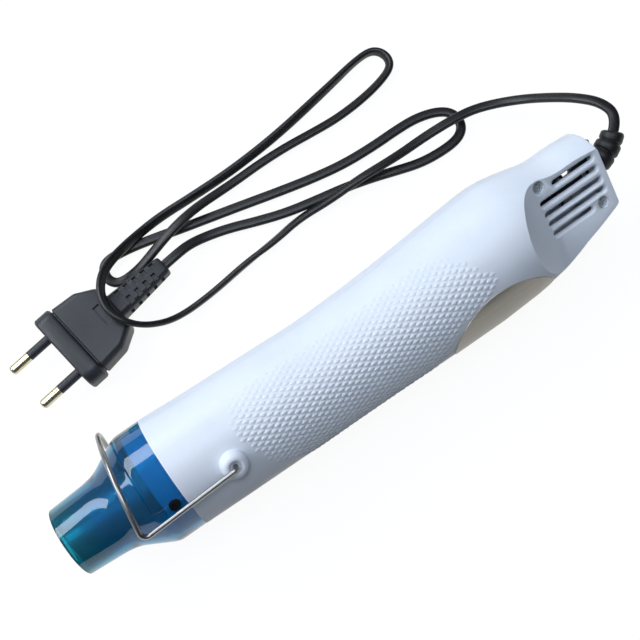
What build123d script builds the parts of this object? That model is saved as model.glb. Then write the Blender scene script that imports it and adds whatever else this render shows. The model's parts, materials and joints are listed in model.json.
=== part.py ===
from build123d import *
import math
import os

os.makedirs("parts", exist_ok=True)

# Embossing heat tool lying on its side on a table, all sizes in millimetres

# General fits
overrun = 1.0
fit = 0.1
running_fit = 0.05
bedding = 0.03
press_fit = 0.01

# Body, along the tool axis from the cover seam to the tail end
body_length = 194.0
seam_radius = 22.25
body_wall = 1.9
end_wall = 2.4
roll_angle = 36.5
station_shares = [
    (0.000, 1.000, 1.000),
    (0.110, 0.953, 1.025),
    (0.260, 0.908, 1.050),
    (0.335, 0.885, 1.056),
    (0.450, 0.912, 1.070),
    (0.570, 0.980, 1.096),
    (0.685, 1.075, 1.096),
    (0.770, 1.128, 1.056),
    (0.807, 1.097, 1.025),
    (0.845, 1.034, 0.980),
    (0.885, 0.957, 0.894),
    (0.908, 0.939, 0.831),
    (0.948, 0.950, 0.733),
    (1.000, 0.930, 0.589),
]

# Flat tail faces with the ramp that leads down to them, measured from the tail end
flat_height = 12.0
flat_length = 29.0
ramp_length = 15.2
ramp_top = 24.6
ramp_sag_share = 0.06
ramp_sag_way_shares = (0.6, 0.8)
ramp_back_share = 0.6
ramp_end_x = body_length - flat_length
ramp_start_x = ramp_end_x - ramp_length

# Air slots in the flats, their ends measured from the tail end
slot_width = 1.9
slot_end_back = 3.0
slot_short_end_back = 10.5
slot_start_back = 29.0
slot_short_start_back = 21.4
slot_sides = [13.7, 9.1, 4.3, 0.25, -4.0]

# Nozzle cover
cover_length = 43.4
cover_wall = 1.6
cover_band = 11.2
cover_neck_x = 24.9
cover_neck_radius = 14.75
mouth_radius = 13.5
band_round = 8.0
neck_round = 16.0
spigot_length = 8.0
spigot_wall = 1.5
spigot_root = 4.0

# Cover screws, one on each side of the band
cover_screw_x = 4.0
cover_screw_head = 4.3
cover_screw_head_height = 1.2
cover_screw_shank = 2.0
cover_screw_tip = 0.5
screw_cross_width = 0.7
screw_cross_span_share = 0.62
screw_cross_depth_share = 0.5

# Pivot bosses of the wire support
pivot_x = 20.1
boss_diameter = 10.1
boss_rise = 3.5
boss_round = 2.3
boss_mouth = 3.8
boss_mouth_depth = 1.1
boss_mouth_slope = 38.0

# Wire support
wire_diameter = 1.9
wire_side_gap = 0.1
arm_length = 39.0
arm_lean = 2.5
hoop_angle = 101.8
hoop_depth = 27.2
wire_bend = 2.4
pin_bend = 1.3
pin_depth = 5.0
hoop_straight = 0.2

# Heater
heater_radius = 10.6
heater_tube_wall = 0.4
heater_set_back = 2.0
heater_rear_x = 12.0
mica_radius = 10.05
mica_wall = 0.35
mica_set_back = 6.0
cross_half_width = 7.4
cross_thickness = 0.8
cross_set_back = 8.0
coil_wire = 0.7
coil_turns = 9
coil_bend = 2.0
coil_margin = 3.0
cutout_size = 7.0
cutout_height = 3.2
cutout_length = 9.0
fuse_radius = 1.3
fuse_length = 9.0

# Bulkhead that carries the heater in the spigot
bulkhead_x = 4.5
bulkhead_thickness = 3.0
bulkhead_gap = 0.5
bulkhead_windows = 6
bulkhead_rim = 1.6

# Fan and motor, the duct standing at its share of the body
duct_start_share = 0.196
duct_radius = 17.4
duct_wall = 0.9
duct_length = 20.0
duct_plate = 2.0
duct_windows = 6
motor_radius = 12.2
motor_length = 30.0
motor_cap_length = 3.0
motor_cup = 10.0
motor_cup_wall = 1.2
motor_bush_radius = 3.0
shaft_radius = 1.0
shaft_set_back = 3.0
fan_radius = 16.0
fan_hub_radius = 4.0
fan_set_back = 4.0
fan_depth = 12.0
fan_blades = 7
fan_blade_thickness = 1.0
fan_disc = 1.2
duct_start_x = body_length * duct_start_share
duct_plate_x = duct_start_x + duct_length
motor_start_x = duct_plate_x + duct_plate
shaft_front_x = duct_start_x + shaft_set_back
fan_start_x = duct_start_x + fan_set_back

# Circuit board behind the motor
board_gap = 4.0
board_length = 34.0
board_width = 30.0
board_thickness = 1.6
rib_thickness = 2.0
rib_grip = 1.5
diode_count = 4
diode_pitch = 5.4
diode_radius = 1.35
diode_length = 5.2
capacitor_radius = 4.0
capacitor_height = 9.0
board_x = motor_start_x + motor_length + 2 * motor_cap_length + board_gap

# Rocker switch in the end face
switch_side = 14.2
switch_width = 6.6
switch_height = 12.5
switch_depth = 10.0
switch_flange = 0.75
switch_flange_thickness = 0.8
switch_wall = 0.9
switch_floor = 2.0
rocker_throw = 6.0
rocker_rise = 1.0
rocker_belly_share = 0.7

# Strain relief on the tail end
relief_side = 5.0
relief_base_radius = 5.0
relief_tip_radius = 4.0
relief_angle = 50.0
relief_bend_radius = 20.1
relief_neck_radius = 4.0
relief_flange_radius = 5.2
relief_flange = 2.0
relief_steps = 4
relief_collar_rise = 0.7
relief_collar = 1.8

# Mains cord, a round tube of about the section of the flat cord
cord_diameter = 3.2

# Cord clamp inside the tail
clamp_back = 18.0
clamp_length = 5.0
clamp_half_span = 6.0
clamp_thickness = 2.4
clamp_screw_side = 4.2
clamp_screw_radius = 1.0
clamp_screw_head = 1.9
clamp_screw_head_height = 1.2
clamp_x = body_length - clamp_back

# Tail screws, each by its distance from the tail end and its side
tail_screw_backs = [27.1, 6.0]
tail_screw_sides = [15.9, -4.3]
tail_screw_head = 4.6
tail_screw_head_height = 1.6
tail_screw_recess = 1.2
tail_screw_shank = 2.4
tail_post_diameter = 6.0
tail_screw_places = [(body_length - back, side) for back, side in zip(tail_screw_backs, tail_screw_sides)]

# Rating plate on the upper side, ahead of the ramp
label_ramp_gap = 17.8
label_angle = 49.0
label_length = 46.0
label_chord = 31.2
label_thickness = 0.25
label_x = ramp_start_x - label_ramp_gap

# Internal wiring
lead_diameter = 1.5
lead_bend = 2.0
heater_lead_side = 19.5
heater_lead_gap = 2.4
core_bend_share = 0.127
board_bend_share = 0.253
switch_bend_share = 0.127

# Two-pin mains plug beside the tool
plug_x = -4.5
plug_y = 66.9
plug_turn = 9.0
plug_flange_half = 17.65
plug_flange = 7.8
plug_thickness = 13.7
plug_flange_round = 5.0
plug_shoulder_x = 11.7
plug_shoulder_half = 15.0
plug_root_half = 16.4
plug_neck_x = 19.5
plug_neck_half = 10.2
plug_body_thickness = 11.6
plug_edge_round = 2.4
plug_relief_end = 45.2
plug_relief_root_half = 5.4
plug_relief_end_half = 3.9
plug_relief_flat_share = 0.86
plug_slots = 5
plug_slot_width = 1.3
plug_slot_depth = 1.3
plug_slot_face_share = 1.3
plug_slot_side_share = 0.9
plug_recess_x = 14.0
plug_recess_length = 3.0
plug_recess_width = 9.0
plug_recess_depth = 0.8
pin_spacing = 18.6
pin_diameter = 4.0
pin_length = 19.0
pin_sleeve_length = 10.0
pin_sleeve_wall = 0.5
pin_root = 5.0
pin_tip_round = 1.2


# Resting place: the body touches the table where its lowest section does
lean = math.radians(roll_angle)


def station_circles():
    circles = []
    for x_share, up_share, down_share in station_shares:
        radius = seam_radius * (up_share + down_share) / 2
        offset = seam_radius * (up_share - down_share) / 2
        circles.append((body_length * x_share, offset, radius))
    return circles


rest_height = max(radius - offset * math.sin(lean) for x, offset, radius in station_circles())
boss_face = seam_radius + boss_rise
wire_side = boss_face + wire_diameter / 2 + wire_side_gap
relief_reach = relief_bend_radius * math.sin(math.radians(relief_angle))

# The origin is under the middle of the tool's box, plug and cord left out
tip_reach = relief_reach + relief_tip_radius * math.sin(math.radians(relief_angle))
middle_x = (body_length + tip_reach - cover_length) / 2
hoop_heading = math.radians(arm_lean + 180 - hoop_angle)
hoop_reach = hoop_depth * math.sin(hoop_heading)
side_high = math.hypot(hoop_reach * math.cos(lean), wire_side * math.sin(lean)) + wire_diameter / 2
side_high -= arm_length * math.sin(math.radians(arm_lean)) * math.cos(lean)
side_low = max(radius - offset * math.cos(lean) for x, offset, radius in station_circles())
middle_y = (side_high - side_low) / 2

tool = Plane(
    origin=(-middle_x, -middle_y, rest_height),
    x_dir=(1, 0, 0),
    z_dir=(0, -math.sin(lean), math.cos(lean)),
)
tool_axis = Axis(tool.origin, tool.x_dir)


# Places and planes on the tool: x along the axis, t to the wire's side, b through the bosses
def spot(x, t=0, b=0):
    return tool.from_local_coords(Vector(x, t, b))


def across(x, t=0, b=0):
    return Plane(origin=spot(x, t, b), x_dir=tool.y_dir, z_dir=tool.x_dir)


def level(b):
    return Plane(origin=spot(0, 0, b), x_dir=tool.x_dir, z_dir=tool.z_dir)


def upright(t):
    return Plane(origin=spot(0, t, 0), x_dir=tool.x_dir, z_dir=-tool.y_dir)


# Body form through its sections, drawn in by an inset
def body_form(inset):
    with BuildPart() as form:
        for x, offset, radius in station_circles():
            with BuildSketch(across(x, offset)):
                Circle(radius - inset)
        loft(ruled=True)
    return form.part


# Space above a tail flat and its ramp, lowered by an inset
def tail_space(inset):
    drop = inset
    back = inset * ramp_back_share
    start = (ramp_start_x - back, ramp_top - drop)
    foot = (ramp_end_x - back, flat_height - drop)
    ramp = math.hypot(foot[0] - start[0], foot[1] - start[1])
    sag = ramp * ramp_sag_share
    middle_along = (start[0] + foot[0]) / 2 - sag * ramp_sag_way_shares[0]
    middle_up = (start[1] + foot[1]) / 2 - sag * ramp_sag_way_shares[1]
    middle = (middle_along, middle_up)
    reach = 2 * seam_radius
    with BuildPart() as space:
        with BuildSketch(upright(0)):
            with BuildLine():
                ThreePointArc(start, middle, foot)
                Polyline(
                    foot,
                    (body_length + reach, flat_height - drop),
                    (body_length + reach, ramp_top + reach),
                    (start[0], ramp_top + reach),
                    start,
                )
            make_face()
        extrude(amount=reach, both=True)
    return space.part


# Slab across the whole tool between two places on its axis
def slab(x_start, x_end):
    with BuildPart() as block:
        with BuildSketch(across(x_start)):
            Rectangle(4 * seam_radius, 4 * seam_radius)
        extrude(amount=x_end - x_start)
    return block.part


# Half space on the upper or lower side of the split plane
def half_space(side):
    with BuildPart() as block:
        with BuildSketch(level(0)):
            with Locations((body_length / 2, 0)):
                Rectangle(2 * body_length, 4 * seam_radius)
        extrude(amount=side * 3 * seam_radius)
    return block.part


# Round bar along the tool axis
def bar(x_start, x_end, radius, t=0, b=0):
    with BuildPart() as rod:
        with BuildSketch(across(x_start, t, b)):
            Circle(radius)
        extrude(amount=x_end - x_start)
    return rod.part


# Round wire along a list of tool places
def wire_run(places, diameter, bend):
    points = [spot(*place) for place in places]
    with BuildPart() as run:
        with BuildLine() as path:
            if len(points) > 2:
                FilletPolyline(*points, radius=bend)
            else:
                Line(*points)
        start = path.line @ 0
        heading = path.line % 0
        with BuildSketch(Plane(origin=start, z_dir=heading)):
            Circle(diameter / 2)
        sweep(path=path.line)
    return run.part


body_outer = body_form(0)
body_inner = body_form(body_wall)
tail_cut = tail_space(0)
tail_cut_inner = tail_space(body_wall)
tail_cut_low = mirror(tail_cut, about=tool)
tail_cut_inner_low = mirror(tail_cut_inner, about=tool)
cover_inner_radius = seam_radius - cover_wall
spigot_radius = cover_inner_radius - fit
duct_rib_x = duct_plate_x - rib_thickness
board_rib_places = [board_x + rib_thickness, board_x + board_length - 2 * rib_thickness]

# Hollow of the body, with the rings that carry the duct and the board left standing
cavity = body_inner - tail_cut_inner - tail_cut_inner_low
cavity -= slab(body_length - end_wall, body_length + overrun)
duct_ring = slab(duct_rib_x, duct_rib_x + rib_thickness)
duct_ring -= bar(duct_rib_x - overrun, duct_plate_x + overrun, duct_radius + fit)
with BuildPart() as lead_notch:
    with BuildSketch(across(duct_rib_x - overrun, -heater_lead_side)):
        Rectangle(2 * lead_diameter, heater_lead_gap + 2 * lead_diameter)
    extrude(amount=rib_thickness + 2 * overrun)
duct_ring -= lead_notch.part
cavity -= duct_ring
for rib_x in board_rib_places:
    board_ring = slab(rib_x, rib_x + rib_thickness)
    board_ring -= bar(rib_x - overrun, rib_x + rib_thickness + overrun, board_width / 2 - rib_grip)
    with BuildPart() as board_slot:
        with BuildSketch(across(rib_x - overrun)):
            Rectangle(board_width + 2 * fit, board_thickness + 2 * fit)
        extrude(amount=rib_thickness + 2 * overrun)
    board_ring -= board_slot.part
    cavity -= board_ring


# One half shell with its spigot, boss, slots and screw posts
def half_shell(side):
    with BuildPart() as shell:
        add(body_outer)
        add(tail_cut, mode=Mode.SUBTRACT)
        add(tail_cut_low, mode=Mode.SUBTRACT)
        add(cavity, mode=Mode.SUBTRACT)
        # Spigot that the cover slides over
        with BuildSketch(across(-spigot_length)):
            Circle(spigot_radius)
            Circle(spigot_radius - spigot_wall, mode=Mode.SUBTRACT)
        extrude(amount=spigot_length + spigot_root)
        add(half_space(-side), mode=Mode.SUBTRACT)
        # Pivot boss and its bore with a dished mouth
        with BuildSketch(level(side * (seam_radius - body_wall / 2))):
            with Locations((pivot_x, 0)):
                Circle(boss_diameter / 2)
        extrude(amount=side * (boss_rise + body_wall / 2))
        rim = shell.edges().filter_by(GeomType.CIRCLE)
        rim = rim.filter_by(lambda e: abs(e.radius - boss_diameter / 2) < bedding)
        rim = rim.filter_by(lambda e: abs(abs(tool.to_local_coords(e.center()).Z) - boss_face) < bedding)
        fillet(rim, radius=boss_round)
        with BuildSketch(level(side * (boss_face + overrun))):
            with Locations((pivot_x, 0)):
                Circle(wire_diameter / 2 + running_fit)
        extrude(amount=-side * (pin_depth + overrun + body_wall), mode=Mode.SUBTRACT)
        with BuildSketch(level(side * boss_face)):
            with Locations((pivot_x, 0)):
                Circle(boss_mouth / 2)
        extrude(amount=-side * boss_mouth_depth, taper=boss_mouth_slope, mode=Mode.SUBTRACT)
        # Posts for the tail screws, from the split plane to the flat
        with BuildSketch(level(0)):
            with Locations(*tail_screw_places):
                Circle(tail_post_diameter / 2)
        extrude(amount=side * (flat_height - body_wall / 2))
        # Air slots through the flat
        with BuildSketch(level(side * (flat_height - body_wall - fit))):
            for index, slot_side in enumerate(slot_sides):
                start_back = slot_short_start_back if index == 0 else slot_start_back
                end_back = slot_short_end_back if index == len(slot_sides) - 1 else slot_end_back
                with Locations((body_length - (start_back + end_back) / 2, slot_side)):
                    SlotOverall(start_back - end_back, slot_width)
        extrude(amount=side * (2 * body_wall + 2 * fit), mode=Mode.SUBTRACT)
        # Opening for the switch and the relief in the end wall
        with BuildSketch(across(body_length - end_wall - overrun)):
            with Locations((switch_side, 0)):
                Rectangle(switch_width + 2 * fit, switch_height + 2 * fit)
            with Locations((relief_side, 0)):
                Circle(relief_neck_radius + fit)
        extrude(amount=end_wall + 2 * overrun, mode=Mode.SUBTRACT)
        # Bore for the cover screw through the spigot
        with BuildSketch(level(side * (spigot_radius + overrun))):
            with Locations((-cover_screw_x, 0)):
                Circle(cover_screw_shank / 2 + bedding)
        extrude(amount=-side * (spigot_wall + 2 * overrun), mode=Mode.SUBTRACT)
        # Head seats above, thread bores and the clamp saddle below
        if side > 0:
            with BuildSketch(level(flat_height)):
                with Locations(*tail_screw_places):
                    Circle(tail_screw_head / 2 + fit)
            extrude(amount=-(tail_screw_recess + tail_screw_head_height), mode=Mode.SUBTRACT)
            with BuildSketch(level(0)):
                with Locations(*tail_screw_places):
                    Circle(tail_screw_shank / 2 + fit)
            extrude(amount=flat_height, mode=Mode.SUBTRACT)
        else:
            with BuildSketch(level(0)):
                with Locations(*tail_screw_places):
                    Circle(tail_screw_shank / 2 + bedding)
            extrude(amount=-(flat_height - body_wall), mode=Mode.SUBTRACT)
            with BuildSketch(across(clamp_x)):
                saddle_top = -cord_diameter / 2 - bedding
                saddle_foot = -flat_height + body_wall / 2
                with Locations((relief_side, (saddle_top + saddle_foot) / 2)):
                    Rectangle(2 * clamp_half_span, saddle_top - saddle_foot)
            extrude(amount=clamp_length)
            with BuildSketch(level(-cord_diameter / 2 - bedding)):
                for clamp_side in (-clamp_screw_side, clamp_screw_side):
                    with Locations((clamp_x + clamp_length / 2, relief_side + clamp_side)):
                        Circle(clamp_screw_radius + bedding)
            extrude(amount=-(flat_height - body_wall - cord_diameter), mode=Mode.SUBTRACT)
    return shell.part


near_half = half_shell(1)
far_half = half_shell(-1)

# Upper half of the pale body
with BuildPart() as near_shell:
    add(near_half)
near_shell.part.label = "near_shell"
export_step(near_shell.part, "parts/near_shell.step")

# Lower half of the pale body
with BuildPart() as far_shell:
    add(far_half)
far_shell.part.label = "far_shell"
export_step(far_shell.part, "parts/far_shell.step")

# Blue cover around the heater, slid over the spigot
with BuildPart() as nozzle_cover:
    with BuildSketch(tool):
        with BuildLine():
            FilletPolyline(
                (0, seam_radius),
                (-cover_band, seam_radius - bedding),
                (-cover_neck_x, cover_neck_radius),
                (-cover_length, mouth_radius),
                radius=[band_round, neck_round],
            )
            Line((-cover_length, mouth_radius), (-cover_length, mouth_radius - cover_wall))
            FilletPolyline(
                (-cover_length, mouth_radius - cover_wall),
                (-cover_neck_x, mouth_radius - cover_wall),
                (-cover_band + cover_wall / 2, cover_inner_radius),
                (0, cover_inner_radius),
                radius=[neck_round, band_round - cover_wall],
            )
            Line((0, cover_inner_radius), (0, seam_radius))
        make_face()
    revolve(axis=tool_axis)
    with BuildSketch(level(-seam_radius - overrun)):
        with Locations((-cover_screw_x, 0)):
            Circle(cover_screw_head / 2 + fit)
    extrude(amount=2 * (seam_radius + overrun), mode=Mode.SUBTRACT)
nozzle_cover.part.label = "nozzle_cover"
export_step(nozzle_cover.part, "parts/nozzle_cover.step")


# Cross-recessed screw whose head seat lies at a height on the b axis
def cross_screw(x, t, seat, side, head, head_height, shank, length):
    with BuildPart() as screw:
        with BuildSketch(level(side * seat)):
            with Locations((x, t)):
                Circle(head / 2)
        extrude(amount=side * head_height)
        with BuildSketch(level(side * seat)):
            with Locations((x, t)):
                Circle(shank / 2)
        extrude(amount=-side * length)
        with BuildSketch(level(side * (seat + head_height))):
            with Locations((x, t)):
                Rectangle(head * screw_cross_span_share, screw_cross_width)
                Rectangle(screw_cross_width, head * screw_cross_span_share)
        extrude(amount=-side * head_height * screw_cross_depth_share, mode=Mode.SUBTRACT)
    return screw.part


# Two black screws through the cover band
with BuildPart() as cover_screws:
    for screw_side in (1, -1):
        add(cross_screw(-cover_screw_x, 0, spigot_radius + bedding, screw_side, cover_screw_head,
                        cover_screw_head_height, cover_screw_shank, spigot_wall + cover_screw_tip))
cover_screws.part.label = "cover_screws"
export_step(cover_screws.part, "parts/cover_screws.step")

# Two screws through the tail that hold the shells together
tail_seat = flat_height - tail_screw_recess - tail_screw_head_height
with BuildPart() as tail_screws:
    for place_x, place_side in tail_screw_places:
        add(cross_screw(place_x, place_side, tail_seat + bedding, 1, tail_screw_head,
                        tail_screw_head_height, tail_screw_shank, tail_seat + flat_height / 2))
tail_screws.part.label = "tail_screws"
export_step(tail_screws.part, "parts/tail_screws.step")

# Steel wire support: two pins, two arms and a hoop, bent from one wire
arm_end_x = pivot_x - arm_length * math.cos(math.radians(arm_lean))
arm_end_side = -arm_length * math.sin(math.radians(arm_lean))
hoop_top_x = arm_end_x + hoop_depth * math.cos(hoop_heading)
hoop_top_side = arm_end_side + hoop_depth * math.sin(hoop_heading)
hoop_round = hoop_depth - wire_bend - hoop_straight
with BuildPart() as bail_wire:
    with BuildLine() as bail_path:
        FilletPolyline(
            spot(pivot_x, 0, boss_face - pin_depth),
            spot(pivot_x, 0, wire_side),
            spot(arm_end_x, arm_end_side, wire_side),
            spot(hoop_top_x, hoop_top_side, wire_side),
            spot(hoop_top_x, hoop_top_side, -wire_side),
            spot(arm_end_x, arm_end_side, -wire_side),
            spot(pivot_x, 0, -wire_side),
            spot(pivot_x, 0, -boss_face + pin_depth),
            radius=[pin_bend, wire_bend, hoop_round, hoop_round, wire_bend, pin_bend],
        )
    with BuildSketch(Plane(origin=bail_path.line @ 0, z_dir=bail_path.line % 0)):
        Circle(wire_diameter / 2)
    sweep(path=bail_path.line)
bail_wire.part.label = "bail_wire"
export_step(bail_wire.part, "parts/bail_wire.step")

# Bare rating plate bedded on the upper shell
label_turn = math.radians(label_angle)
label_normal = tool.z_dir * math.cos(label_turn) - tool.y_dir * math.sin(label_turn)
label_plane = Plane(origin=spot(label_x), x_dir=tool.x_dir, z_dir=label_normal)
label_outside = body_form(-bedding - label_thickness)
label_inside = body_form(-bedding)
with BuildPart() as rating_label:
    with BuildSketch(label_plane):
        Ellipse(label_length / 2, label_chord / 2)
    extrude(amount=2 * seam_radius)
    add(label_outside, mode=Mode.INTERSECT)
    add(label_inside, mode=Mode.SUBTRACT)
rating_label.part.label = "rating_label"
export_step(rating_label.part, "parts/rating_label.step")

# Steel tube around the heating element
tube_front_x = -cover_length + heater_set_back
with BuildPart() as heater_tube:
    with BuildSketch(across(tube_front_x)):
        Circle(heater_radius)
        Circle(heater_radius - heater_tube_wall, mode=Mode.SUBTRACT)
    extrude(amount=heater_rear_x - tube_front_x)
heater_tube.part.label = "heater_tube"
export_step(heater_tube.part, "parts/heater_tube.step")

# Mica sleeve inside the tube
sleeve_front_x = tube_front_x + mica_set_back
with BuildPart() as mica_sleeve:
    with BuildSketch(across(sleeve_front_x)):
        Circle(mica_radius)
        Circle(mica_radius - mica_wall, mode=Mode.SUBTRACT)
    extrude(amount=heater_rear_x - sleeve_front_x)
mica_sleeve.part.label = "mica_sleeve"
export_step(mica_sleeve.part, "parts/mica_sleeve.step")

# Crossed mica plates that carry the element, with end wings out to the sleeve
cross_front_x = tube_front_x + cross_set_back
wing_half = mica_radius - mica_wall - bedding
with BuildPart() as mica_cross:
    with BuildSketch(across(cross_front_x)):
        Rectangle(2 * cross_half_width, cross_thickness)
        Rectangle(cross_thickness, 2 * cross_half_width)
    extrude(amount=heater_rear_x - cross_front_x)
    with BuildSketch(across(cross_front_x)):
        Rectangle(2 * wing_half, cross_thickness)
        Rectangle(cross_thickness, 2 * wing_half)
    extrude(amount=coil_margin / 2)
    with BuildSketch(across(heater_rear_x)):
        Rectangle(2 * wing_half, cross_thickness)
        Rectangle(cross_thickness, 2 * wing_half)
    extrude(amount=-coil_margin / 2)
mica_cross.part.label = "mica_cross"
export_step(mica_cross.part, "parts/mica_cross.step")

# Resistance wire wound around the crossed plates
coil_start_x = cross_front_x + coil_margin
coil_end_x = heater_rear_x - cutout_length - coil_margin
coil_pitch = (coil_end_x - coil_start_x) / coil_turns
coil_reach = cross_half_width + coil_wire / 2 + bedding + coil_bend * (math.sqrt(2) - 1)
coil_corners = []
for step in range(4 * coil_turns + 1):
    corner_angle = math.radians(90 * step)
    corner_x = coil_start_x + coil_pitch * step / 4
    corner_t = coil_reach * math.cos(corner_angle)
    corner_b = coil_reach * math.sin(corner_angle)
    coil_corners.append(spot(corner_x, corner_t, corner_b))
with BuildPart() as heating_coil:
    with BuildLine() as coil_path:
        FilletPolyline(*coil_corners, radius=coil_bend)
    with BuildSketch(Plane(origin=coil_path.line @ 0, z_dir=coil_path.line % 0)):
        Circle(coil_wire / 2)
    sweep(path=coil_path.line)
heating_coil.part.label = "heating_coil"
export_step(heating_coil.part, "parts/heating_coil.step")

# Bimetal cut-out lying against one plate
cutout_middle = cross_thickness / 2 + bedding + cutout_height / 2
with BuildPart() as thermal_cutout:
    with BuildSketch(across(heater_rear_x - coil_margin / 2 - cutout_length)):
        with Locations((cutout_middle, cutout_size / 2 + cross_thickness / 2 + bedding)):
            Rectangle(cutout_height, cutout_size - cutout_height / 2)
    extrude(amount=cutout_length - bedding)
thermal_cutout.part.label = "thermal_cutout"
export_step(thermal_cutout.part, "parts/thermal_cutout.step")

# Thermal fuse in the opposite corner of the cross
fuse_offset = cross_thickness / 2 + bedding + fuse_radius
with BuildPart() as thermal_fuse:
    with BuildSketch(across(heater_rear_x - coil_margin / 2 - cutout_length)):
        with Locations((-fuse_offset, -fuse_offset)):
            Circle(fuse_radius)
    extrude(amount=fuse_length - bedding)
thermal_fuse.part.label = "thermal_fuse"
export_step(thermal_fuse.part, "parts/thermal_fuse.step")

# Windowed ring that centres the heater tube in the spigot root
ring_radius = seam_radius - body_wall - bulkhead_gap
ring_inner = heater_radius + bedding
window_middle = (ring_radius + ring_inner) / 2
with BuildPart() as heater_bulkhead:
    with BuildSketch(across(bulkhead_x)):
        Circle(ring_radius)
        Circle(ring_inner, mode=Mode.SUBTRACT)
        with PolarLocations(window_middle, bulkhead_windows):
            Circle((ring_radius - ring_inner) / 2 - bulkhead_rim, mode=Mode.SUBTRACT)
    extrude(amount=bulkhead_thickness)
heater_bulkhead.part.label = "heater_bulkhead"
export_step(heater_bulkhead.part, "parts/heater_bulkhead.step")

# Duct around the fan with a spoked plate and the motor cup
duct_inner = duct_radius - duct_wall
with BuildPart() as fan_duct:
    with BuildSketch(across(duct_start_x)):
        Circle(duct_radius)
        Circle(duct_inner, mode=Mode.SUBTRACT)
    extrude(amount=duct_plate_x + duct_plate - duct_start_x)
    with BuildSketch(across(duct_plate_x)):
        Circle(duct_radius)
        with PolarLocations((duct_inner + motor_radius) / 2, duct_windows):
            Circle((duct_inner - motor_radius) / 2 - 2 * fit, mode=Mode.SUBTRACT)
        Circle(motor_bush_radius + fit, mode=Mode.SUBTRACT)
    extrude(amount=duct_plate)
    with BuildSketch(across(motor_start_x)):
        Circle(motor_radius + motor_cup_wall)
        Circle(motor_radius + bedding, mode=Mode.SUBTRACT)
    extrude(amount=motor_cup)
fan_duct.part.label = "fan_duct"
export_step(fan_duct.part, "parts/fan_duct.step")

# Motor can with its front bush and the shaft's bore
with BuildPart() as motor_can:
    with BuildSketch(across(motor_start_x + bedding)):
        Circle(motor_radius)
    extrude(amount=motor_length)
    with BuildSketch(across(motor_start_x + bedding)):
        Circle(motor_bush_radius)
    extrude(amount=-duct_plate)
    with BuildSketch(across(duct_plate_x - overrun)):
        Circle(shaft_radius + running_fit)
    extrude(amount=motor_length, mode=Mode.SUBTRACT)
motor_can.part.label = "motor_can"
export_step(motor_can.part, "parts/motor_can.step")

# Plastic end cap with two terminals
cap_start_x = motor_start_x + motor_length + 2 * bedding
with BuildPart() as motor_end_cap:
    with BuildSketch(across(cap_start_x)):
        Circle(motor_radius)
    extrude(amount=motor_cap_length)
    with BuildSketch(across(cap_start_x + motor_cap_length)):
        for tab_side in (-motor_radius / 2, motor_radius / 2):
            with Locations((tab_side, 0)):
                Rectangle(motor_bush_radius, lead_diameter / 2)
    extrude(amount=motor_cap_length)
motor_end_cap.part.label = "motor_end_cap"
export_step(motor_end_cap.part, "parts/motor_end_cap.step")

# Motor shaft running in the can's bore
shaft_end_x = duct_plate_x + motor_length - 2 * overrun
with BuildPart() as motor_shaft:
    add(bar(shaft_front_x, shaft_end_x, shaft_radius))
motor_shaft.part.label = "motor_shaft"
export_step(motor_shaft.part, "parts/motor_shaft.step")

# Fan wheel: hub, back disc and straight blades
with BuildPart() as fan_impeller:
    with BuildSketch(across(fan_start_x)):
        Circle(fan_hub_radius)
    extrude(amount=fan_depth)
    with BuildSketch(across(fan_start_x + fan_depth - fan_disc)):
        Circle(fan_radius)
    extrude(amount=fan_disc)
    with BuildSketch(across(fan_start_x)):
        with PolarLocations((fan_radius + fan_hub_radius) / 2 - fan_blade_thickness, fan_blades):
            Rectangle(fan_radius - fan_hub_radius, fan_blade_thickness)
    extrude(amount=fan_depth - fan_disc / 2)
    with BuildSketch(across(fan_start_x - overrun)):
        Circle(shaft_radius + press_fit)
    extrude(amount=fan_depth + 2 * overrun, mode=Mode.SUBTRACT)
fan_impeller.part.label = "fan_impeller"
export_step(fan_impeller.part, "parts/fan_impeller.step")

# Circuit board held in the slotted ribs
with BuildPart() as rectifier_board:
    with BuildSketch(across(board_x)):
        Rectangle(board_width, board_thickness)
    extrude(amount=board_length)
rectifier_board.part.label = "rectifier_board"
export_step(rectifier_board.part, "parts/rectifier_board.step")

# Four diodes and a capacitor standing on the board
board_top = board_thickness / 2 + bedding
with BuildPart() as board_parts:
    for row in range(diode_count):
        diode_side = (row - (diode_count - 1) / 2) * diode_pitch
        diode_start = spot(board_x + 4 * rib_thickness, diode_side, board_top + diode_radius)
        with BuildSketch(Plane(origin=diode_start, x_dir=tool.y_dir, z_dir=tool.x_dir)):
            Circle(diode_radius)
        extrude(amount=diode_length)
    with BuildSketch(level(board_top)):
        with Locations((board_x + board_length / 2 + capacitor_radius, 0)):
            Circle(capacitor_radius)
    extrude(amount=capacitor_height)
board_parts.part.label = "board_parts"
export_step(board_parts.part, "parts/board_parts.step")

# Snap-in frame of the rocker switch
switch_back_x = body_length - switch_depth
with BuildPart() as switch_frame:
    with BuildSketch(across(switch_back_x, switch_side)):
        Rectangle(switch_width, switch_height)
    extrude(amount=switch_depth + bedding)
    with BuildSketch(across(body_length + bedding, switch_side)):
        Rectangle(switch_width + 2 * switch_flange, switch_height + 2 * switch_flange)
    extrude(amount=switch_flange_thickness)
    with BuildSketch(across(switch_back_x + switch_floor, switch_side)):
        Rectangle(switch_width - 2 * switch_wall, switch_height - 2 * switch_wall)
    extrude(amount=switch_depth, mode=Mode.SUBTRACT)
    with BuildSketch(across(switch_back_x, switch_side)):
        for tab_place in (-switch_height / 4, switch_height / 4):
            with Locations((0, tab_place)):
                Rectangle(switch_width / 2, switch_wall)
    extrude(amount=-2 * switch_floor)
switch_frame.part.label = "switch_frame"
export_step(switch_frame.part, "parts/switch_frame.step")

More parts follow.
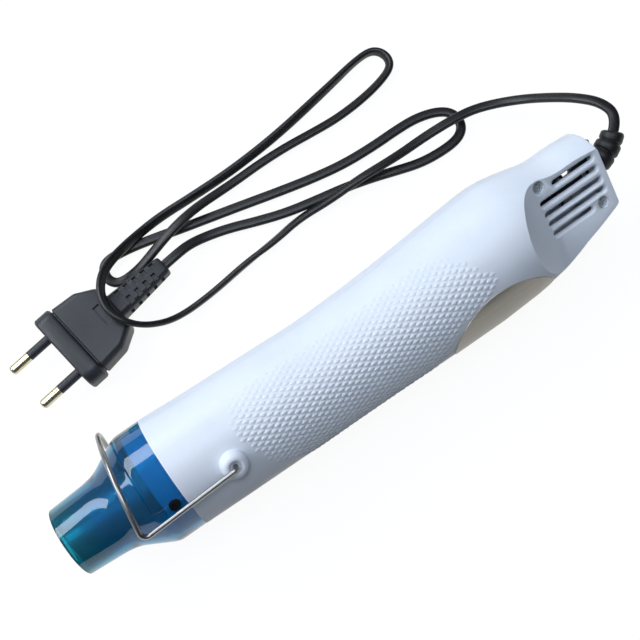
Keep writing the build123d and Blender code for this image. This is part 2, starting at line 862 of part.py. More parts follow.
# Rocker: two shallow faces above a round belly, hinged across the tool
rocker_half = switch_height / 2 - switch_wall - 2 * fit
rocker_x = body_length - switch_floor
rocker_top = body_length + switch_flange_thickness + rocker_rise - rocker_x
rocker_width = switch_width - 2 * switch_wall - 2 * fit
rocker_dish = rocker_half * math.tan(math.radians(rocker_throw))
with BuildPart() as switch_rocker:
    with BuildSketch(Plane(origin=spot(rocker_x, switch_side), x_dir=tool.x_dir, z_dir=-tool.y_dir)):
        with BuildLine():
            Polyline(
                (0, -rocker_half + rocker_dish),
                (rocker_top - rocker_dish, -rocker_half + rocker_dish),
                (rocker_top - 2 * rocker_dish, 0),
                (rocker_top - rocker_dish, rocker_half - rocker_dish),
                (0, rocker_half - rocker_dish),
            )
            ThreePointArc(
                (0, rocker_half - rocker_dish),
                (-rocker_half * rocker_belly_share, 0),
                (0, -rocker_half + rocker_dish),
            )
        make_face()
    extrude(amount=rocker_width / 2, both=True)
switch_rocker.part.label = "switch_rocker"
export_step(switch_rocker.part, "parts/switch_rocker.step")


# Place and heading on the relief's bend, from its base to its tip
def relief_place(share):
    turn = math.radians(relief_angle * share)
    along = relief_bend_radius * math.sin(turn)
    lift = relief_bend_radius * (1 - math.cos(turn))
    place = spot(body_length + bedding + along, relief_side + lift, 0)
    heading = tool.x_dir * math.cos(turn) + tool.y_dir * math.sin(turn)
    return place, heading


def relief_plane(share):
    place, heading = relief_place(share)
    return Plane(origin=place, x_dir=tool.z_dir, z_dir=heading)


def relief_radius(share):
    return relief_base_radius + (relief_tip_radius - relief_base_radius) * share


# Tapered strain relief that bends toward the cord, trapped by the end wall
with BuildPart() as strain_relief:
    for step in range(relief_steps + 1):
        with BuildSketch(relief_plane(step / relief_steps)):
            Circle(relief_radius(step / relief_steps))
    loft()
    for step in range(1, relief_steps):
        with BuildSketch(relief_plane(step / relief_steps)):
            Circle(relief_radius(step / relief_steps) + relief_collar_rise)
        extrude(amount=relief_collar / 2, both=True)
    with BuildSketch(across(body_length + bedding, relief_side)):
        Circle(relief_neck_radius)
    extrude(amount=-(end_wall + 2 * bedding + relief_flange))
    with BuildSketch(across(body_length - end_wall - bedding, relief_side)):
        Circle(relief_flange_radius)
    extrude(amount=-relief_flange)
strain_relief.part.label = "strain_relief"
export_step(strain_relief.part, "parts/strain_relief.step")

# Clamp bar over the cord, opposite the saddle
with BuildPart() as cord_clamp:
    with BuildSketch(level(cord_diameter / 2 + bedding)):
        with Locations((clamp_x + clamp_length / 2, relief_side)):
            Rectangle(clamp_length, 2 * clamp_half_span)
            with Locations((0, -clamp_screw_side), (0, clamp_screw_side)):
                Circle(clamp_screw_radius + fit, mode=Mode.SUBTRACT)
    extrude(amount=clamp_thickness)
cord_clamp.part.label = "cord_clamp"
export_step(cord_clamp.part, "parts/cord_clamp.step")

# Two screws of the cord clamp
clamp_seat = cord_diameter / 2 + 2 * bedding + clamp_thickness
with BuildPart() as clamp_screws:
    for clamp_side in (-clamp_screw_side, clamp_screw_side):
        add(cross_screw(clamp_x + clamp_length / 2, relief_side + clamp_side, clamp_seat, 1,
                        2 * clamp_screw_head, clamp_screw_head_height, 2 * clamp_screw_radius,
                        clamp_seat + cord_diameter))
clamp_screws.part.label = "clamp_screws"
export_step(clamp_screws.part, "parts/clamp_screws.step")

# Cord end inside the tail with its two cores to the switch and the board
inner_cord_start = body_length - end_wall - relief_flange - 3 * bedding
inner_cord_end = clamp_x - clamp_length / 2
board_end = board_x + board_length + bedding
core_offset = lead_diameter / 2 + fit / 2
switch_tab_x = switch_back_x - 2 * switch_floor - bedding
core_leg_x = tail_screw_places[0][0] + tail_post_diameter / 2 + lead_diameter
lead_room = inner_cord_end - board_end
with BuildPart() as mains_leads:
    add(bar(inner_cord_end, inner_cord_start, cord_diameter / 2, relief_side))
    add(wire_run([
        (inner_cord_end, relief_side - core_offset, 0),
        (inner_cord_end - lead_room * core_bend_share, relief_side - core_offset, 0),
        (board_end + lead_room * board_bend_share, 0, 0),
        (board_end, 0, 0),
    ], lead_diameter, lead_bend))
    add(wire_run([
        (inner_cord_end, relief_side + core_offset, 0),
        (core_leg_x, relief_side + core_offset, 0),
        (core_leg_x, switch_side, switch_height / 4),
        (switch_tab_x, switch_side, switch_height / 4),
    ], lead_diameter, lead_bend))
    add(wire_run([
        (switch_tab_x, switch_side, -switch_height / 4),
        (core_leg_x, switch_side, -switch_height / 4),
        (core_leg_x, board_width / 4, -switch_height / 4),
        (board_end + lead_room * switch_bend_share, board_width / 4, 0),
        (board_end, board_width / 4, 0),
    ], lead_diameter, lead_bend))
mains_leads.part.label = "mains_leads"
export_step(mains_leads.part, "parts/mains_leads.step")

# Two leads from the board past the motor to the heater
heater_plug_x = heater_rear_x + bedding
with BuildPart() as heater_leads:
    for lead_side in (-1, 1):
        lead_b = lead_side * heater_lead_gap / 2
        add(wire_run([
            (board_x - bedding, -board_width / 3, lead_b),
            (board_x - 2 * lead_bend, -board_width / 3, lead_b),
            (motor_start_x + motor_length, -heater_lead_side, lead_b),
            (duct_start_x - lead_bend, -heater_lead_side, lead_b),
            (heater_rear_x + 3 * lead_bend, -cross_half_width / 2, lead_b),
            (heater_plug_x, -cross_half_width / 2, lead_b),
        ], lead_diameter, lead_bend))
heater_leads.part.label = "heater_leads"
export_step(heater_leads.part, "parts/heater_leads.step")

# Two short leads from the motor's terminals to the board
terminal_end = cap_start_x + 2 * motor_cap_length + bedding
with BuildPart() as motor_leads:
    for lead_side in (-1, 1):
        add(wire_run([
            (terminal_end, lead_side * motor_radius / 2, 0),
            (board_x - bedding, lead_side * motor_radius / 2, 0),
        ], lead_diameter, lead_bend))
motor_leads.part.label = "motor_leads"
export_step(motor_leads.part, "parts/motor_leads.step")

# Plug plane: x from the pins to the cord, flat on the table
plug_turn_angle = math.radians(plug_turn)
plug = Plane(
    origin=(plug_x - middle_x, plug_y - middle_y, plug_thickness / 2),
    x_dir=(math.cos(plug_turn_angle), math.sin(plug_turn_angle), 0),
    z_dir=(0, 0, 1),
)


def plug_spot(x, y=0, z=0):
    return plug.from_local_coords(Vector(x, y, z))


def plug_across(x, y=0):
    return Plane(origin=plug_spot(x, y), x_dir=plug.y_dir, z_dir=plug.x_dir)


# Flat plug body with its finger flange and the ribbed relief moulded on
relief_root_x = plug_neck_x - plug_recess_length
with BuildPart() as plug_body:
    with BuildSketch(plug_across(-plug_flange)):
        RectangleRounded(2 * plug_flange_half, plug_thickness, plug_flange_round)
    extrude(amount=plug_flange)
    with BuildSketch(plug):
        with BuildLine():
            Polyline(
                (-plug_flange / 2, plug_root_half),
                (0, plug_root_half),
                (plug_shoulder_x, plug_shoulder_half),
                (plug_neck_x, plug_neck_half),
                (plug_neck_x, -plug_neck_half),
                (plug_shoulder_x, -plug_shoulder_half),
                (0, -plug_root_half),
                (-plug_flange / 2, -plug_root_half),
                close=True,
            )
        make_face()
    extrude(amount=plug_body_thickness / 2, both=True)
    corners = plug_body.edges().filter_by(Axis.Z)
    corners = corners.filter_by(lambda e: plug.to_local_coords(e.center()).X > plug_edge_round)
    fillet(corners, radius=plug_edge_round)
    with BuildSketch(plug_across(relief_root_x)):
        RectangleRounded(2 * plug_relief_root_half, 2 * plug_relief_root_half * plug_relief_flat_share,
                         plug_relief_root_half / 2)
    with BuildSketch(plug_across(plug_relief_end)):
        RectangleRounded(2 * plug_relief_end_half, 2 * plug_relief_end_half * plug_relief_flat_share,
                         plug_relief_end_half / 2)
    loft()
    for index in range(plug_slots):
        slot_share = (index + 1) / (plug_slots + 1)
        slot_x = plug_neck_x + (plug_relief_end - plug_neck_x) * slot_share
        half = plug_relief_root_half + (plug_relief_end_half - plug_relief_root_half) * slot_share
        with BuildSketch(plug_across(slot_x - plug_slot_width / 2)):
            for slot_sign in (-1, 1):
                with Locations((0, slot_sign * (half * plug_relief_flat_share))):
                    Rectangle(plug_slot_face_share * half, 2 * plug_slot_depth)
                with Locations((slot_sign * half, 0)):
                    Rectangle(2 * plug_slot_depth, plug_slot_side_share * half)
        extrude(amount=plug_slot_width, mode=Mode.SUBTRACT)
    with BuildSketch(Plane(origin=plug_spot(0, 0, plug_body_thickness / 2), x_dir=plug.x_dir)):
        with Locations((plug_recess_x, 0)):
            Rectangle(plug_recess_length, plug_recess_width)
    extrude(amount=-plug_recess_depth, mode=Mode.SUBTRACT)
    with BuildSketch(plug_across(-plug_flange)):
        for pin_side in (-pin_spacing / 2, pin_spacing / 2):
            with Locations((pin_side, 0)):
                Circle(pin_diameter / 2 - pin_sleeve_wall + bedding)
    extrude(amount=pin_root + bedding, mode=Mode.SUBTRACT)
plug_body.part.label = "plug_body"
export_step(plug_body.part, "parts/plug_body.step")

# Two brass pins, thinner under their sleeves
with BuildPart() as plug_pins:
    for pin_side in (-pin_spacing / 2, pin_spacing / 2):
        with BuildSketch(plug_across(-plug_flange + pin_root, pin_side)):
            Circle(pin_diameter / 2 - pin_sleeve_wall)
        extrude(amount=-(pin_root + pin_length - pin_tip_round))
        with BuildSketch(plug_across(-plug_flange - pin_sleeve_length - bedding, pin_side)):
            Circle(pin_diameter / 2)
        extrude(amount=-(pin_length - pin_sleeve_length - bedding))
    tips = plug_pins.edges().filter_by(GeomType.CIRCLE)
    tips = tips.filter_by(lambda e: plug.to_local_coords(e.center()).X < bedding - plug_flange - pin_length)
    fillet(tips, radius=pin_tip_round)
plug_pins.part.label = "plug_pins"
export_step(plug_pins.part, "parts/plug_pins.step")

# Black sleeves on the inner half of the pins
with BuildPart() as plug_pin_sleeves:
    for pin_side in (-pin_spacing / 2, pin_spacing / 2):
        with BuildSketch(plug_across(-plug_flange - bedding, pin_side)):
            Circle(pin_diameter / 2)
            Circle(pin_diameter / 2 - pin_sleeve_wall + bedding, mode=Mode.SUBTRACT)
        extrude(amount=-(pin_sleeve_length - bedding))
plug_pin_sleeves.part.label = "plug_pin_sleeves"
export_step(plug_pin_sleeves.part, "parts/plug_pin_sleeves.step")

# Route of the mains cord over the table, from the seam on the table's surface
cord_places = [
    (212.3, 21.5, 33.5),
    (208.2, 30.0, 28.5),
    (203.5, 38.0, 21.5),
    (198.2, 45.5, 14.5),
    (190.0, 52.0, 9.8),
    (180.5, 56.0, 8.4),
    (170.0, 57.2, 8.4),
    (158.0, 58.2, 6.6),
    (147.0, 57.9, 6.6),
    (137.0, 57.6, 8.3),
    (124.5, 58.2, 8.3),
    (110.8, 58.9, 4.2),
    (96.0, 60.3, 1.6),
    (83.0, 58.2, 1.6),
    (67.8, 57.2, 1.6),
    (49.1, 54.4, 1.6),
    (32.5, 53.2, 4.0),
    (22.0, 55.2, 10.0),
    (15.5, 59.5, 15.8),
    (12.3, 66.0, 17.0),
    (12.6, 73.0, 17.0),
    (15.5, 79.5, 15.4),
    (20.5, 84.8, 12.4),
    (28.0, 88.8, 8.4),
    (38.0, 92.4, 3.8),
    (50.0, 94.3, 1.6),
    (65.0, 94.0, 1.6),
    (83.0, 94.1, 1.6),
    (100.0, 95.4, 1.6),
    (114.0, 97.2, 1.6),
    (128.0, 99.7, 1.6),
    (143.0, 102.5, 1.6),
    (155.5, 105.1, 1.6),
    (163.5, 105.5, 1.6),
    (168.3, 102.4, 1.6),
    (168.6, 97.6, 1.6),
    (165.0, 93.4, 1.6),
    (158.5, 90.8, 1.6),
    (147.5, 88.8, 1.6),
    (134.3, 87.9, 1.6),
    (122.0, 88.7, 1.6),
    (110.0, 89.7, 1.6),
    (97.0, 89.9, 1.6),
    (84.0, 89.2, 2.0),
    (73.5, 88.6, 3.6),
    (64.5, 87.5, 6.0),
    (56.0, 85.5, 8.2),
    (46.5, 83.1, 8.2),
    (38.0, 81.3, 5.4),
    (30.5, 80.4, 2.6),
    (24.0, 80.4, 1.6),
    (20.2, 82.2, 1.6),
    (20.8, 85.6, 1.6),
    (25.5, 87.4, 1.6),
    (33.5, 87.8, 1.6),
    (43.5, 87.2, 1.6),
    (54.0, 85.0, 1.6),
    (66.0, 82.2, 1.6),
    (80.0, 78.9, 1.6),
    (95.0, 75.2, 1.6),
    (110.0, 71.8, 1.6),
    (125.0, 69.3, 1.6),
    (140.0, 68.7, 1.6),
    (152.0, 69.0, 1.6),
    (161.5, 68.6, 1.6),
    (169.5, 66.4, 1.6),
    (174.8, 62.6, 1.6),
    (176.6, 57.6, 1.6),
    (174.3, 53.2, 1.6),
    (168.8, 50.9, 1.6),
    (160.5, 50.2, 1.6),
    (151.0, 51.2, 1.6),
    (141.5, 54.1, 1.6),
    (130.5, 57.7, 1.6),
    (119.0, 60.6, 1.6),
    (106.0, 62.9, 1.6),
    (93.0, 65.6, 1.6),
    (81.0, 69.6, 1.6),
    (70.5, 73.6, 1.7),
    (61.0, 75.8, 3.0),
    (53.0, 76.2, 5.2),
]
cord_lead_out = 6.0
cord_run_share = 0.45

relief_tip, relief_heading = relief_place(1)
cord_start = relief_tip + relief_heading * bedding
cord_end = plug_spot(plug_relief_end + bedding, 0, 0)
cord_points = [cord_start, cord_start + relief_heading * cord_lead_out]
for place in cord_places:
    cord_points.append(Vector(*place) - Vector(middle_x, middle_y, 0))
cord_points.append(cord_end + plug.x_dir * cord_lead_out)
cord_points.append(cord_end)
cord_radii = []
for before, corner, after in zip(cord_points, cord_points[1:], cord_points[2:]):
    run = min((corner - before).length, (after - corner).length)
    turn = math.radians((corner - before).get_angle(after - corner))
    cord_radii.append(cord_run_share * run / math.tan(turn / 2))
with BuildPart() as power_cord:
    with BuildLine() as cord_path:
        FilletPolyline(*cord_points, radius=cord_radii)
    with BuildSketch(Plane(origin=cord_start, z_dir=relief_heading)):
        Circle(cord_diameter / 2)
    sweep(path=cord_path.line)
power_cord.part.label = "power_cord"
export_step(power_cord.part, "parts/power_cord.step")
cord_length = sum(edge.length for edge in cord_path.edges())
print("cord length", round(cord_length, 1))
print("cord radii", [round(radius, 1) for radius in cord_radii])
cord_section = math.pi * cord_diameter ** 2 / 4
print("cord volume over section times length",
      round(power_cord.part.volume / (cord_section * cord_length), 4))
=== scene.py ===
import json
import math

import bmesh
import bpy
from mathutils import Matrix, Vector


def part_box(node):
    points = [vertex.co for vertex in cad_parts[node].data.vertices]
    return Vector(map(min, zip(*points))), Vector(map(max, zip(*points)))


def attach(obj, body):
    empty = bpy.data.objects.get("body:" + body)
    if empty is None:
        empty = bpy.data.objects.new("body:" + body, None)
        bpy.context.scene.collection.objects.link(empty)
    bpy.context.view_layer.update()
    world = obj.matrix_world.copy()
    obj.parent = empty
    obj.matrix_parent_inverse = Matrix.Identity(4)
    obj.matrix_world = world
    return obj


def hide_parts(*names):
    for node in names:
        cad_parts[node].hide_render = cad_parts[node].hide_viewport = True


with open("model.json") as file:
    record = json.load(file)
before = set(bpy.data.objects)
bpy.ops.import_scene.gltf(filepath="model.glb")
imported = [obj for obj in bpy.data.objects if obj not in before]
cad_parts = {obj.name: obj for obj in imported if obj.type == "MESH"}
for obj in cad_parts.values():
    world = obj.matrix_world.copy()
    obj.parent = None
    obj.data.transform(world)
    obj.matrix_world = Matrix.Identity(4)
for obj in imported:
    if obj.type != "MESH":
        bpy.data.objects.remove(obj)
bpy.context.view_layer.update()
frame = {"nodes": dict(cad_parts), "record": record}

# Camera
# A phone-like view from above, found by matching the plug, the seam and the
# tail in the photograph. Lengths here and below are in millimetres.
MM = 0.001
FOCAL_PIXELS = 950.15
FRAME_PIXELS = 640
SENSOR = 36.0
NEAREST_SEEN = 10.0
EYE = (31.202, -61.609, 368.967)
EYE_RIGHT = (0.818204, -0.574479, -0.022703)
EYE_UP = (0.561190, 0.789450, 0.248665)
EYE_BACK = (-0.124930, -0.216200, 0.968323)

# The cover is a turned piece, so the middle of its box is on the tool's axis,
# and it meets the body at its tail end.
cover_low, cover_high = (Vector(corner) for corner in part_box("nozzle_cover"))
seam = Vector((cover_high.x, (cover_low.y + cover_high.y) / 2, (cover_low.z + cover_high.z) / 2))


def on_table(x, y, z):
    return Vector((seam.x + x * MM, seam.y + y * MM, z * MM))


lens = bpy.data.cameras.new("view")
lens.sensor_width = SENSOR
lens.lens = FOCAL_PIXELS / FRAME_PIXELS * SENSOR
lens.clip_start = NEAREST_SEEN * MM
eye = bpy.data.objects.new("view", lens)
bpy.context.scene.collection.objects.link(eye)
turn = Matrix((EYE_RIGHT, EYE_UP, EYE_BACK)).transposed().to_4x4()
eye.matrix_world = Matrix.Translation(on_table(*EYE)) @ turn
bpy.context.scene.camera = eye
bpy.context.scene.view_settings.view_transform = "Standard"

# Table
# The white card that the tool lies on. The lamps light it as a dark grey, so
# it throws little light up; the camera, gloss and clear plastic see it white.
FLOOR_HALF = 3000.0
FLOOR_GREY = "55575A"
FLOOR_WHITE = "FFFFFF"
FLOOR_GLOW = 0.94


def linear(hex_colour):
    channels = [int(hex_colour[i:i + 2], 16) / 255 for i in (0, 2, 4)]
    return [c / 12.92 if c <= 0.04045 else ((c + 0.055) / 1.055) ** 2.4 for c in channels] + [1.0]


def add_node(tree, kind, settings=None, values=None, links=None):
    node = tree.nodes.new(kind)
    for name, value in (settings or {}).items():
        setattr(node, name, value)
    for socket, value in (values or {}).items():
        node.inputs[socket].default_value = value
    for socket, source in (links or {}).items():
        tree.links.new(source, node.inputs[socket])
    return node


def new_material(name):
    material = bpy.data.materials.new(name)
    material.use_nodes = True
    material.node_tree.nodes.clear()
    return material, material.node_tree


def coat(piece, material):
    piece.data.materials.clear()
    piece.data.materials.append(material)


def new_piece(name, points, faces):
    mesh = bpy.data.meshes.new(name)
    mesh.from_pydata([tuple(p) for p in points], [], faces)
    mesh.validate()
    mesh.update()
    piece = bpy.data.objects.new(name, mesh)
    bpy.context.scene.collection.objects.link(piece)
    return piece


# Matt card: it takes the tool's soft shadow and has no gloss or grain of its own.
floor_material, tree = new_material("white_card_table")
seen = add_node(tree, "ShaderNodeLightPath")
seen_or_glossy = add_node(tree, "ShaderNodeMath", {"operation": "MAXIMUM"},
                          links={0: seen.outputs["Is Camera Ray"], 1: seen.outputs["Is Glossy Ray"]})
seen_any = add_node(tree, "ShaderNodeMath", {"operation": "MAXIMUM"},
                    links={0: seen_or_glossy.outputs[0], 1: seen.outputs["Is Transmission Ray"]})
card = add_node(tree, "ShaderNodeBsdfDiffuse", values={"Color": linear(FLOOR_GREY)})
glow = add_node(tree, "ShaderNodeEmission", values={"Color": linear(FLOOR_WHITE), "Strength": FLOOR_GLOW})
both = add_node(tree, "ShaderNodeAddShader", links={0: card.outputs[0], 1: glow.outputs[0]})
mixed = add_node(tree, "ShaderNodeMixShader",
                 links={0: seen_any.outputs[0], 1: card.outputs[0], 2: both.outputs[0]})
add_node(tree, "ShaderNodeOutputMaterial", links={"Surface": mixed.outputs[0]})

half = FLOOR_HALF * MM
floor = new_piece("table", [(-half, -half, 0), (half, -half, 0), (half, half, 0), (-half, half, 0)],
                  [(0, 1, 2, 3)])
coat(floor, floor_material)

# Studio light
# A cool sky that is brighter toward the window's side, a long soft lamp like a
# window beyond the tool, and a smaller one like a ceiling light above it.
SKY_COLOUR = "DCE9F7"
SKY_WHITE = "FFFFFF"
SKY_LEAN = (-0.446, 0.603, 0.66)
SKY_SPAN = (-0.5, 1.0)
SKY_STRENGTH = (0.0, 0.36)
LAMP_AIM = (0.0, 0.0, 20.0)

world = bpy.data.worlds.new("studio")
world.use_nodes = True
world.node_tree.nodes.clear()
tree = world.node_tree
seen = add_node(tree, "ShaderNodeLightPath")
seen_or_through = add_node(tree, "ShaderNodeMath", {"operation": "MAXIMUM"},
                           links={0: seen.outputs["Is Camera Ray"], 1: seen.outputs["Is Transmission Ray"]})
sky_way = add_node(tree, "ShaderNodeTexCoord")
sky_side = add_node(tree, "ShaderNodeVectorMath", {"operation": "DOT_PRODUCT"}, values={1: SKY_LEAN},
                    links={0: sky_way.outputs["Generated"]})
sky_strength = add_node(tree, "ShaderNodeMapRange",
                        values={"From Min": SKY_SPAN[0], "From Max": SKY_SPAN[1],
                                "To Min": SKY_STRENGTH[0], "To Max": SKY_STRENGTH[1]},
                        links={"Value": sky_side.outputs["Value"]})
soft_sky = add_node(tree, "ShaderNodeBackground", values={"Color": linear(SKY_COLOUR)},
                    links={"Strength": sky_strength.outputs[0]})
white_sky = add_node(tree, "ShaderNodeBackground", values={"Color": linear(SKY_WHITE), "Strength": 1.0})
mixed = add_node(tree, "ShaderNodeMixShader",
                 links={0: seen_or_through.outputs[0], 1: soft_sky.outputs[0], 2: white_sky.outputs[0]})
add_node(tree, "ShaderNodeOutputWorld", links={"Surface": mixed.outputs[0]})
bpy.context.scene.world = world


def soft_lamp(name, place, size, power, colour):
    light = bpy.data.lights.new(name, "AREA")
    light.shape = "RECTANGLE"
    light.size, light.size_y = (side * MM for side in size)
    light.energy = power
    light.color = linear(colour)[:3]
    lamp = bpy.data.objects.new(name, light)
    bpy.context.scene.collection.objects.link(lamp)
    lamp.location = Vector(place) * MM
    aim = (Vector(LAMP_AIM) - Vector(place)) * MM
    lamp.rotation_euler = aim.to_track_quat("-Z", "Y").to_euler()


soft_lamp("window", place=(-560.0, 760.0, 800.0), size=(1500.0, 500.0), power=14.0, colour="F2F8FF")
soft_lamp("ceiling", place=(0.0, 100.0, 1400.0), size=(700.0, 500.0), power=6.5, colour="EAF2FF")

# Heater
# A rolled steel tube lined with mica. The element is wound on crossed mica
# plates, with a cut-out and a fuse in their corners, on a nylon bulkhead.
PATCH_GRAINS = 12
GRAIN_DETAIL = 3.0
PATCH_DETAIL = 2.0
GRAIN_WEIGHT = 0.5
TONE_SPAN = (0.45, 1.05)


# A finish has fine grains and broad patches of two tones, and its roughness
# and relief follow them. The grain is a size in millimetres. On most of these
# surfaces the real grain is under 0.2 mm, too fine to show in the render, so
# it is drawn as coarse as it needs to show.
def finish(name, dark, light, grain, rough, bump, depth, metal=0.0, stretch=(1.0, 1.0, 1.0)):
    material, tree = new_material(name)
    coords = add_node(tree, "ShaderNodeTexCoord")
    scaled = add_node(tree, "ShaderNodeMapping", values={"Scale": stretch},
                      links={"Vector": coords.outputs["Object"]})
    grains = add_node(tree, "ShaderNodeTexNoise", values={"Scale": 1 / (grain * MM), "Detail": GRAIN_DETAIL},
                      links={"Vector": scaled.outputs["Vector"]})
    patches = add_node(tree, "ShaderNodeTexNoise",
                       values={"Scale": 1 / (PATCH_GRAINS * grain * MM), "Detail": PATCH_DETAIL},
                       links={"Vector": scaled.outputs["Vector"]})
    blend = add_node(tree, "ShaderNodeMath", {"operation": "MULTIPLY_ADD"}, values={1: GRAIN_WEIGHT},
                     links={0: grains.outputs["Fac"], 2: patches.outputs["Fac"]})
    share = add_node(tree, "ShaderNodeMapRange", values={"From Min": TONE_SPAN[0], "From Max": TONE_SPAN[1]},
                     links={"Value": blend.outputs[0]})
    tint = add_node(tree, "ShaderNodeMix", {"data_type": "RGBA"},
                    values={"A": linear(dark), "B": linear(light)}, links={"Factor": share.outputs[0]})
    roughness = add_node(tree, "ShaderNodeMapRange", values={"To Min": rough[0], "To Max": rough[1]},
                         links={"Value": share.outputs[0]})
    relief = add_node(tree, "ShaderNodeBump", values={"Strength": bump, "Distance": depth * MM},
                      links={"Height": grains.outputs["Fac"]})
    surface = add_node(tree, "ShaderNodeBsdfPrincipled", values={"Metallic": metal},
                       links={"Base Color": tint.outputs["Result"], "Roughness": roughness.outputs[0],
                              "Normal": relief.outputs[0]})
    add_node(tree, "ShaderNodeOutputMaterial", links={"Surface": surface.outputs[0]})
    return material


def dress(material, *names):
    for name in names:
        for place in frame["nodes"][name].material_slots:
            place.material = material


# Rolled bright steel: a soft, warm grey shine behind the blue cover.
rolled_steel = finish("rolled_heater_tube", dark="BDB9B0", light="D6D2CA", grain=1.5, rough=(0.3, 0.5),
                      bump=0.1, depth=0.02, metal=1.0)
dress(rolled_steel, "heater_tube")
# Pressed mica flakes: a dull, speckled straw tone.
mica = finish("pressed_mica", dark="C9BFA8", light="DAD2C0", grain=1.0, rough=(0.5, 0.7),
              bump=0.3, depth=0.03)
dress(mica, "mica_sleeve", "mica_cross")
# Heating wire oxidised by its first glow: dark brown with dull glints.
heating_wire = finish("oxidised_heating_wire", dark="4A413B", light="6B5F55", grain=0.3, rough=(0.4, 0.6),
                      bump=0.2, depth=0.01, metal=0.9)
dress(heating_wire, "heating_coil")
# Nickel plate on pressed cans: cool, clean and fairly sharp reflections.
nickel_plate = finish("nickel_plated_steel", dark="A7A8AA", light="BDBEC0", grain=0.8, rough=(0.2, 0.35),
                      bump=0.1, depth=0.01, metal=1.0)
dress(nickel_plate, "thermal_cutout", "thermal_fuse")
# Moulded black nylon: dark grey, dull and a little grainy.
black_nylon = finish("black_nylon", dark="222326", light="303236", grain=1.0, rough=(0.45, 0.6),
                     bump=0.2, depth=0.03)
dress(black_nylon, "heater_bulkhead")

# Fan and motor
# A small motor in a plated can drives a moulded fan through its shaft. The
# duct round the fan is black nylon, with a cup that carries the motor.
dress(black_nylon, "fan_duct", "motor_end_cap")
dress(nickel_plate, "motor_can")
# Ivory nylon: pale and warm, with a soft shine.
ivory_nylon = finish("ivory_nylon_fan", dark="D9D6CC", light="E6E4DB", grain=1.0, rough=(0.4, 0.55),
                     bump=0.15, depth=0.02)
dress(ivory_nylon, "fan_impeller")
# Drawn steel: mid grey, with a softer shine than the plated can.
drawn_steel = finish("drawn_steel_pins", dark="9C9DA0", light="B4B5B8", grain=0.5, rough=(0.25, 0.4),
                     bump=0.1, depth=0.01, metal=1.0)
dress(drawn_steel, "motor_shaft")

# Board and wiring
# A small paper-laminate board feeds the motor. Leads run from the clamped cord
# to the switch, the board, the motor and the heater.
dress(black_nylon, "cord_clamp")
dress(drawn_steel, "clamp_screws")
# Paper laminate: brown, faintly mottled and half dull.
laminate = finish("paper_laminate", dark="8A6A38", light="A27F47", grain=0.6, rough=(0.4, 0.55),
                  bump=0.2, depth=0.02)
dress(laminate, "rectifier_board")
# Moulded epoxy cases: near black and evenly satin.
epoxy = finish("epoxy_case", dark="151517", light="202124", grain=0.8, rough=(0.35, 0.5),
               bump=0.1, depth=0.02)
dress(epoxy, "board_parts")
# Woven glass-fibre sleeve: off-white, with no shine.
glass_sleeve = finish("glass_fibre_sleeve", dark="CFC9B8", light="E0DBCC", grain=0.7, rough=(0.6, 0.8),
                      bump=0.3, depth=0.03)
dress(glass_sleeve, "heater_leads")
# Soft PVC insulation: near black with a satin line of light.
lead_pvc = finish("dark_pvc_lead", dark="1A1B1E", light="26272B", grain=0.7, rough=(0.35, 0.5),
                  bump=0.1, depth=0.02)
dress(lead_pvc, "mains_leads", "motor_leads")

# Body shells
# Two injection-moulded halves of cool white ABS, closed round the motor and
# screwed at the tail; a field of small raised grips runs along each side.
BODY_LENGTH = 194.0
SEAM_RADIUS = 22.25
WALL = 1.9
END_WALL = 2.4
RIM_ROUND = 0.7
SPLIT_GAP = 0.05
# Share of the body's length, then how far it reaches to each side of the
# tool's axis there, in shares of the seam's radius
SECTION_SHARES = [(0.000, 1.000, 1.000), (0.110, 0.953, 1.025), (0.260, 0.908, 1.050), (0.335, 0.885, 1.056),
                  (0.450, 0.912, 1.070), (0.570, 0.980, 1.096), (0.685, 1.075, 1.096), (0.770, 1.128, 1.056),
                  (0.807, 1.097, 1.025), (0.845, 1.034, 0.980), (0.885, 0.957, 0.894), (0.908, 0.939, 0.831),
                  (0.948, 0.950, 0.733), (1.000, 0.930, 0.589)]
SEAM_STATIONS = [0.0, 1.0, 3.0]
GRIP_STATIONS = [6.0 + 3.5 * step for step in range(40)]
TAIL_STATIONS = [146.0 + 1.5 * step for step in range(31)]
STATIONS = SEAM_STATIONS + GRIP_STATIONS + TAIL_STATIONS
RIM_STEPS = 5
HALF_STEPS = 84
RING_STEPS = 144
SAME_POINT = 1e-9
HOLLOW_OVERRUN = 2.0
# The flat with the air slots lies this high above the split, and the ramp up
# to the grip is a curve through four points: place along the tool and height
FLAT = 12.0
RAMP = [(149.8, 24.6), (156.0, 18.6), (161.0, FLAT), (168.0, FLAT)]
RAMP_STEPS = 14
RAMP_WALL_SHARE = 0.6
PRISM_END = 210.0
PRISM_TOP = 50.0
PRISM_HALF = 60.0
# Each air slot's start, end and side; the mouths of slots and screw seats open
# in a small radius, given as height above the split and growth to each side
SLOTS = [(172.6, 191.0, 13.7), (165.0, 191.0, 9.1), (165.0, 191.0, 4.3), (165.0, 191.0, 0.25),
         (165.0, 183.5, -4.0)]
SLOT_WIDTH = 1.9
SLOT_FLARE = [(10.7, 0.0), (11.05, 0.07), (11.35, 0.2), (11.62, 0.42), (11.84, 0.68), (11.96, 0.88),
              (FLAT, 0.98)]
SLOT_END_STEPS = 8
CUT_FLOOR = 8.0
CUT_TOP = 14.0
SCREW_SEATS = [(166.9, 15.9), (188.0, -4.3)]
SEAT_RADIUS = 2.4
SEAT_FLOOR = 9.2
SEAT_PLAY = 0.02
SEAT_FLARE = [(11.1, 0.0), (11.4, 0.05), (11.65, 0.15), (11.85, 0.32), (11.96, 0.5), (FLAT, 0.62)]
ROUND_STEPS = 32
